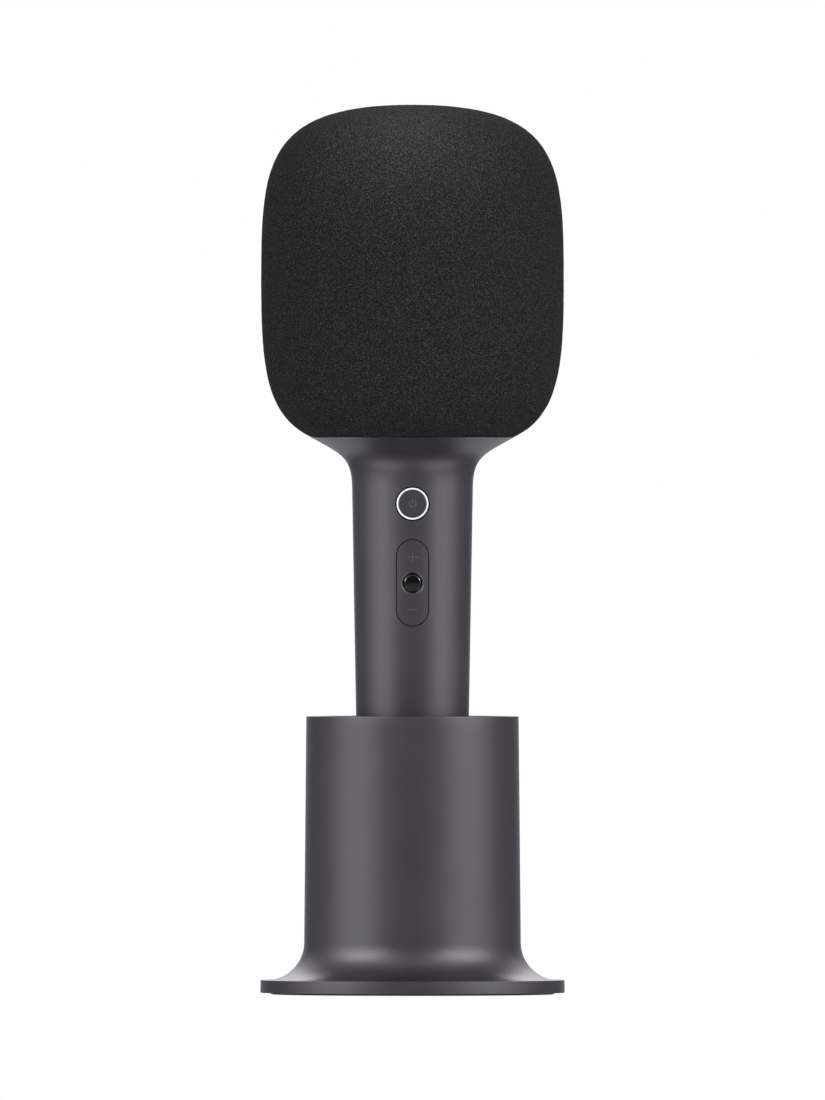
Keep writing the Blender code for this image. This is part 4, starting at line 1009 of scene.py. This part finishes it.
def make_knob_cards():
    """Cards for the knob alone: a horizon in its cap and two glints on its rim.

    The rim is shut off from the low side cards, which would light it all round.
    """
    cap_only = bpy.data.collections.new("cap_only")
    cap_only.objects.link(bpy.data.objects["knob_dome"])
    for low, high, radiance in ((-16, -1, 0.34), (-32, -16, 0.5), (-60, -32, 0.7)):
        lamp = card("knob_card", (-50, 50), (low, high), radiance)
        lamp.light_linking.receiver_collection = cap_only
    rim_only = bpy.data.collections.new("rim_only")
    rim_only.objects.link(bpy.data.objects["knob_bezel"])
    for azimuths in ((-80, -40), (40, 80)):
        card("rim_card", azimuths, (12, 34), 6.5).light_linking.receiver_collection = rim_only
    not_rim = bpy.data.collections.new("not_rim")
    not_rim.objects.link(bpy.data.objects["knob_bezel"])
    not_rim.collection_objects[0].light_linking.link_state = "EXCLUDE"
    for side in ("left", "right"):
        for row in ("floor", "skirt"):
            bpy.data.objects[f"{side}_{row}"].light_linking.receiver_collection = not_rim


def make_world():
    """White to the camera, an even dome to matt surfaces, and dim between the cards to glossy ones."""
    world = bpy.data.worlds.new("studio")
    bpy.context.scene.world = world
    world.use_nodes = True
    tree = world.node_tree
    rays = tree.nodes.new("ShaderNodeLightPath")
    strength = None
    for kind, level in WORLD_LEVELS.items():
        share = tree.nodes.new("ShaderNodeMath")
        share.operation = "MULTIPLY_ADD"
        share.inputs[1].default_value = level
        share.inputs[2].default_value = 0.0
        tree.links.new(rays.outputs[kind], share.inputs[0])
        if strength is not None:
            tree.links.new(strength, share.inputs[2])
        strength = share.outputs[0]
    tree.links.new(strength, tree.nodes["Background"].inputs["Strength"])
    tree.nodes["Background"].inputs["Color"].default_value = (1, 1, 1, 1)


def matt_light(light, azimuth, elevation, distance, target, stretch=1.0):
    """Places a light that only matt surfaces answer to."""
    obj = bpy.data.objects.new(light.name, light)
    bpy.context.scene.collection.objects.link(obj)
    aim(obj, azimuth, elevation, distance, target)
    obj.scale.x = stretch
    obj.visible_camera = False
    obj.visible_glossy = False


def make_matt_lights():
    """A soft pool of light on the front of the crown, and a broad fill from the front right."""
    pool = bpy.data.lights.new("crown_pool", "SPOT")
    pool.spot_size = math.radians(2.7)
    pool.spot_blend = 1.0
    pool.shadow_soft_size = 0.02
    pool.energy = 31.0
    matt_light(pool, -3, 50, 0.9, (-0.001, -0.0325, 0.252), 1.5)
    fill = bpy.data.lights.new("front_fill", "AREA")
    fill.size = 0.9
    fill.energy = 4.1
    matt_light(fill, 32, 28, 1.5, STUDIO_CENTRE)


def make_floor():
    """A white floor with only a faint contact shadow."""
    bm = bmesh.new()
    bmesh.ops.create_circle(bm, cap_ends=True, segments=64, radius=40)
    mesh = bpy.data.meshes.new("floor")
    bm.to_mesh(mesh)
    bm.free()
    floor = bpy.data.objects.new("floor", mesh)
    bpy.context.scene.collection.objects.link(floor)
    floor.location.z = -0.0002
    material = bpy.data.materials.new("white_floor")
    material.use_nodes = True
    tree = material.node_tree
    tree.nodes.remove(tree.nodes["Principled BSDF"])
    glow = tree.nodes.new("ShaderNodeEmission")
    shade = tree.nodes.new("ShaderNodeAmbientOcclusion")
    shade.inputs["Distance"].default_value = 0.006
    shade.samples = 16
    ramp = tree.nodes.new("ShaderNodeMapRange")
    ramp.inputs["To Min"].default_value = 0.9
    ramp.inputs["To Max"].default_value = 1.02
    tree.links.new(shade.outputs["AO"], ramp.inputs["Value"])
    tree.links.new(ramp.outputs["Result"], glow.inputs["Strength"])
    tree.links.new(glow.outputs["Emission"], tree.nodes["Material Output"].inputs["Surface"])
    mesh.materials.append(material)
    floor.visible_glossy = False
    floor.visible_diffuse = False
    floor.visible_shadow = False


CENTRE_Z = 129.16 * MM
VIEW_HEIGHT = 319.8 * MM  # what the frame takes in at the object
LENS = 1250.0
SENSOR = 36.0


def make_camera():
    data = bpy.data.cameras.new("camera")
    data.lens = LENS
    data.sensor_width = SENSOR
    camera = bpy.data.objects.new("camera", data)
    bpy.context.scene.collection.objects.link(camera)
    distance = VIEW_HEIGHT * LENS / SENSOR
    aim(camera, 0, 0, distance, (0, 0, CENTRE_Z))
    data.clip_start, data.clip_end = 0.1, 100
    bpy.context.scene.camera = camera


make_world()
make_floor()
make_camera()
make_matt_lights()
make_cards()
make_knob_cards()
bpy.context.scene.view_settings.view_transform = "Standard"
bpy.context.scene.view_settings.look = "None"
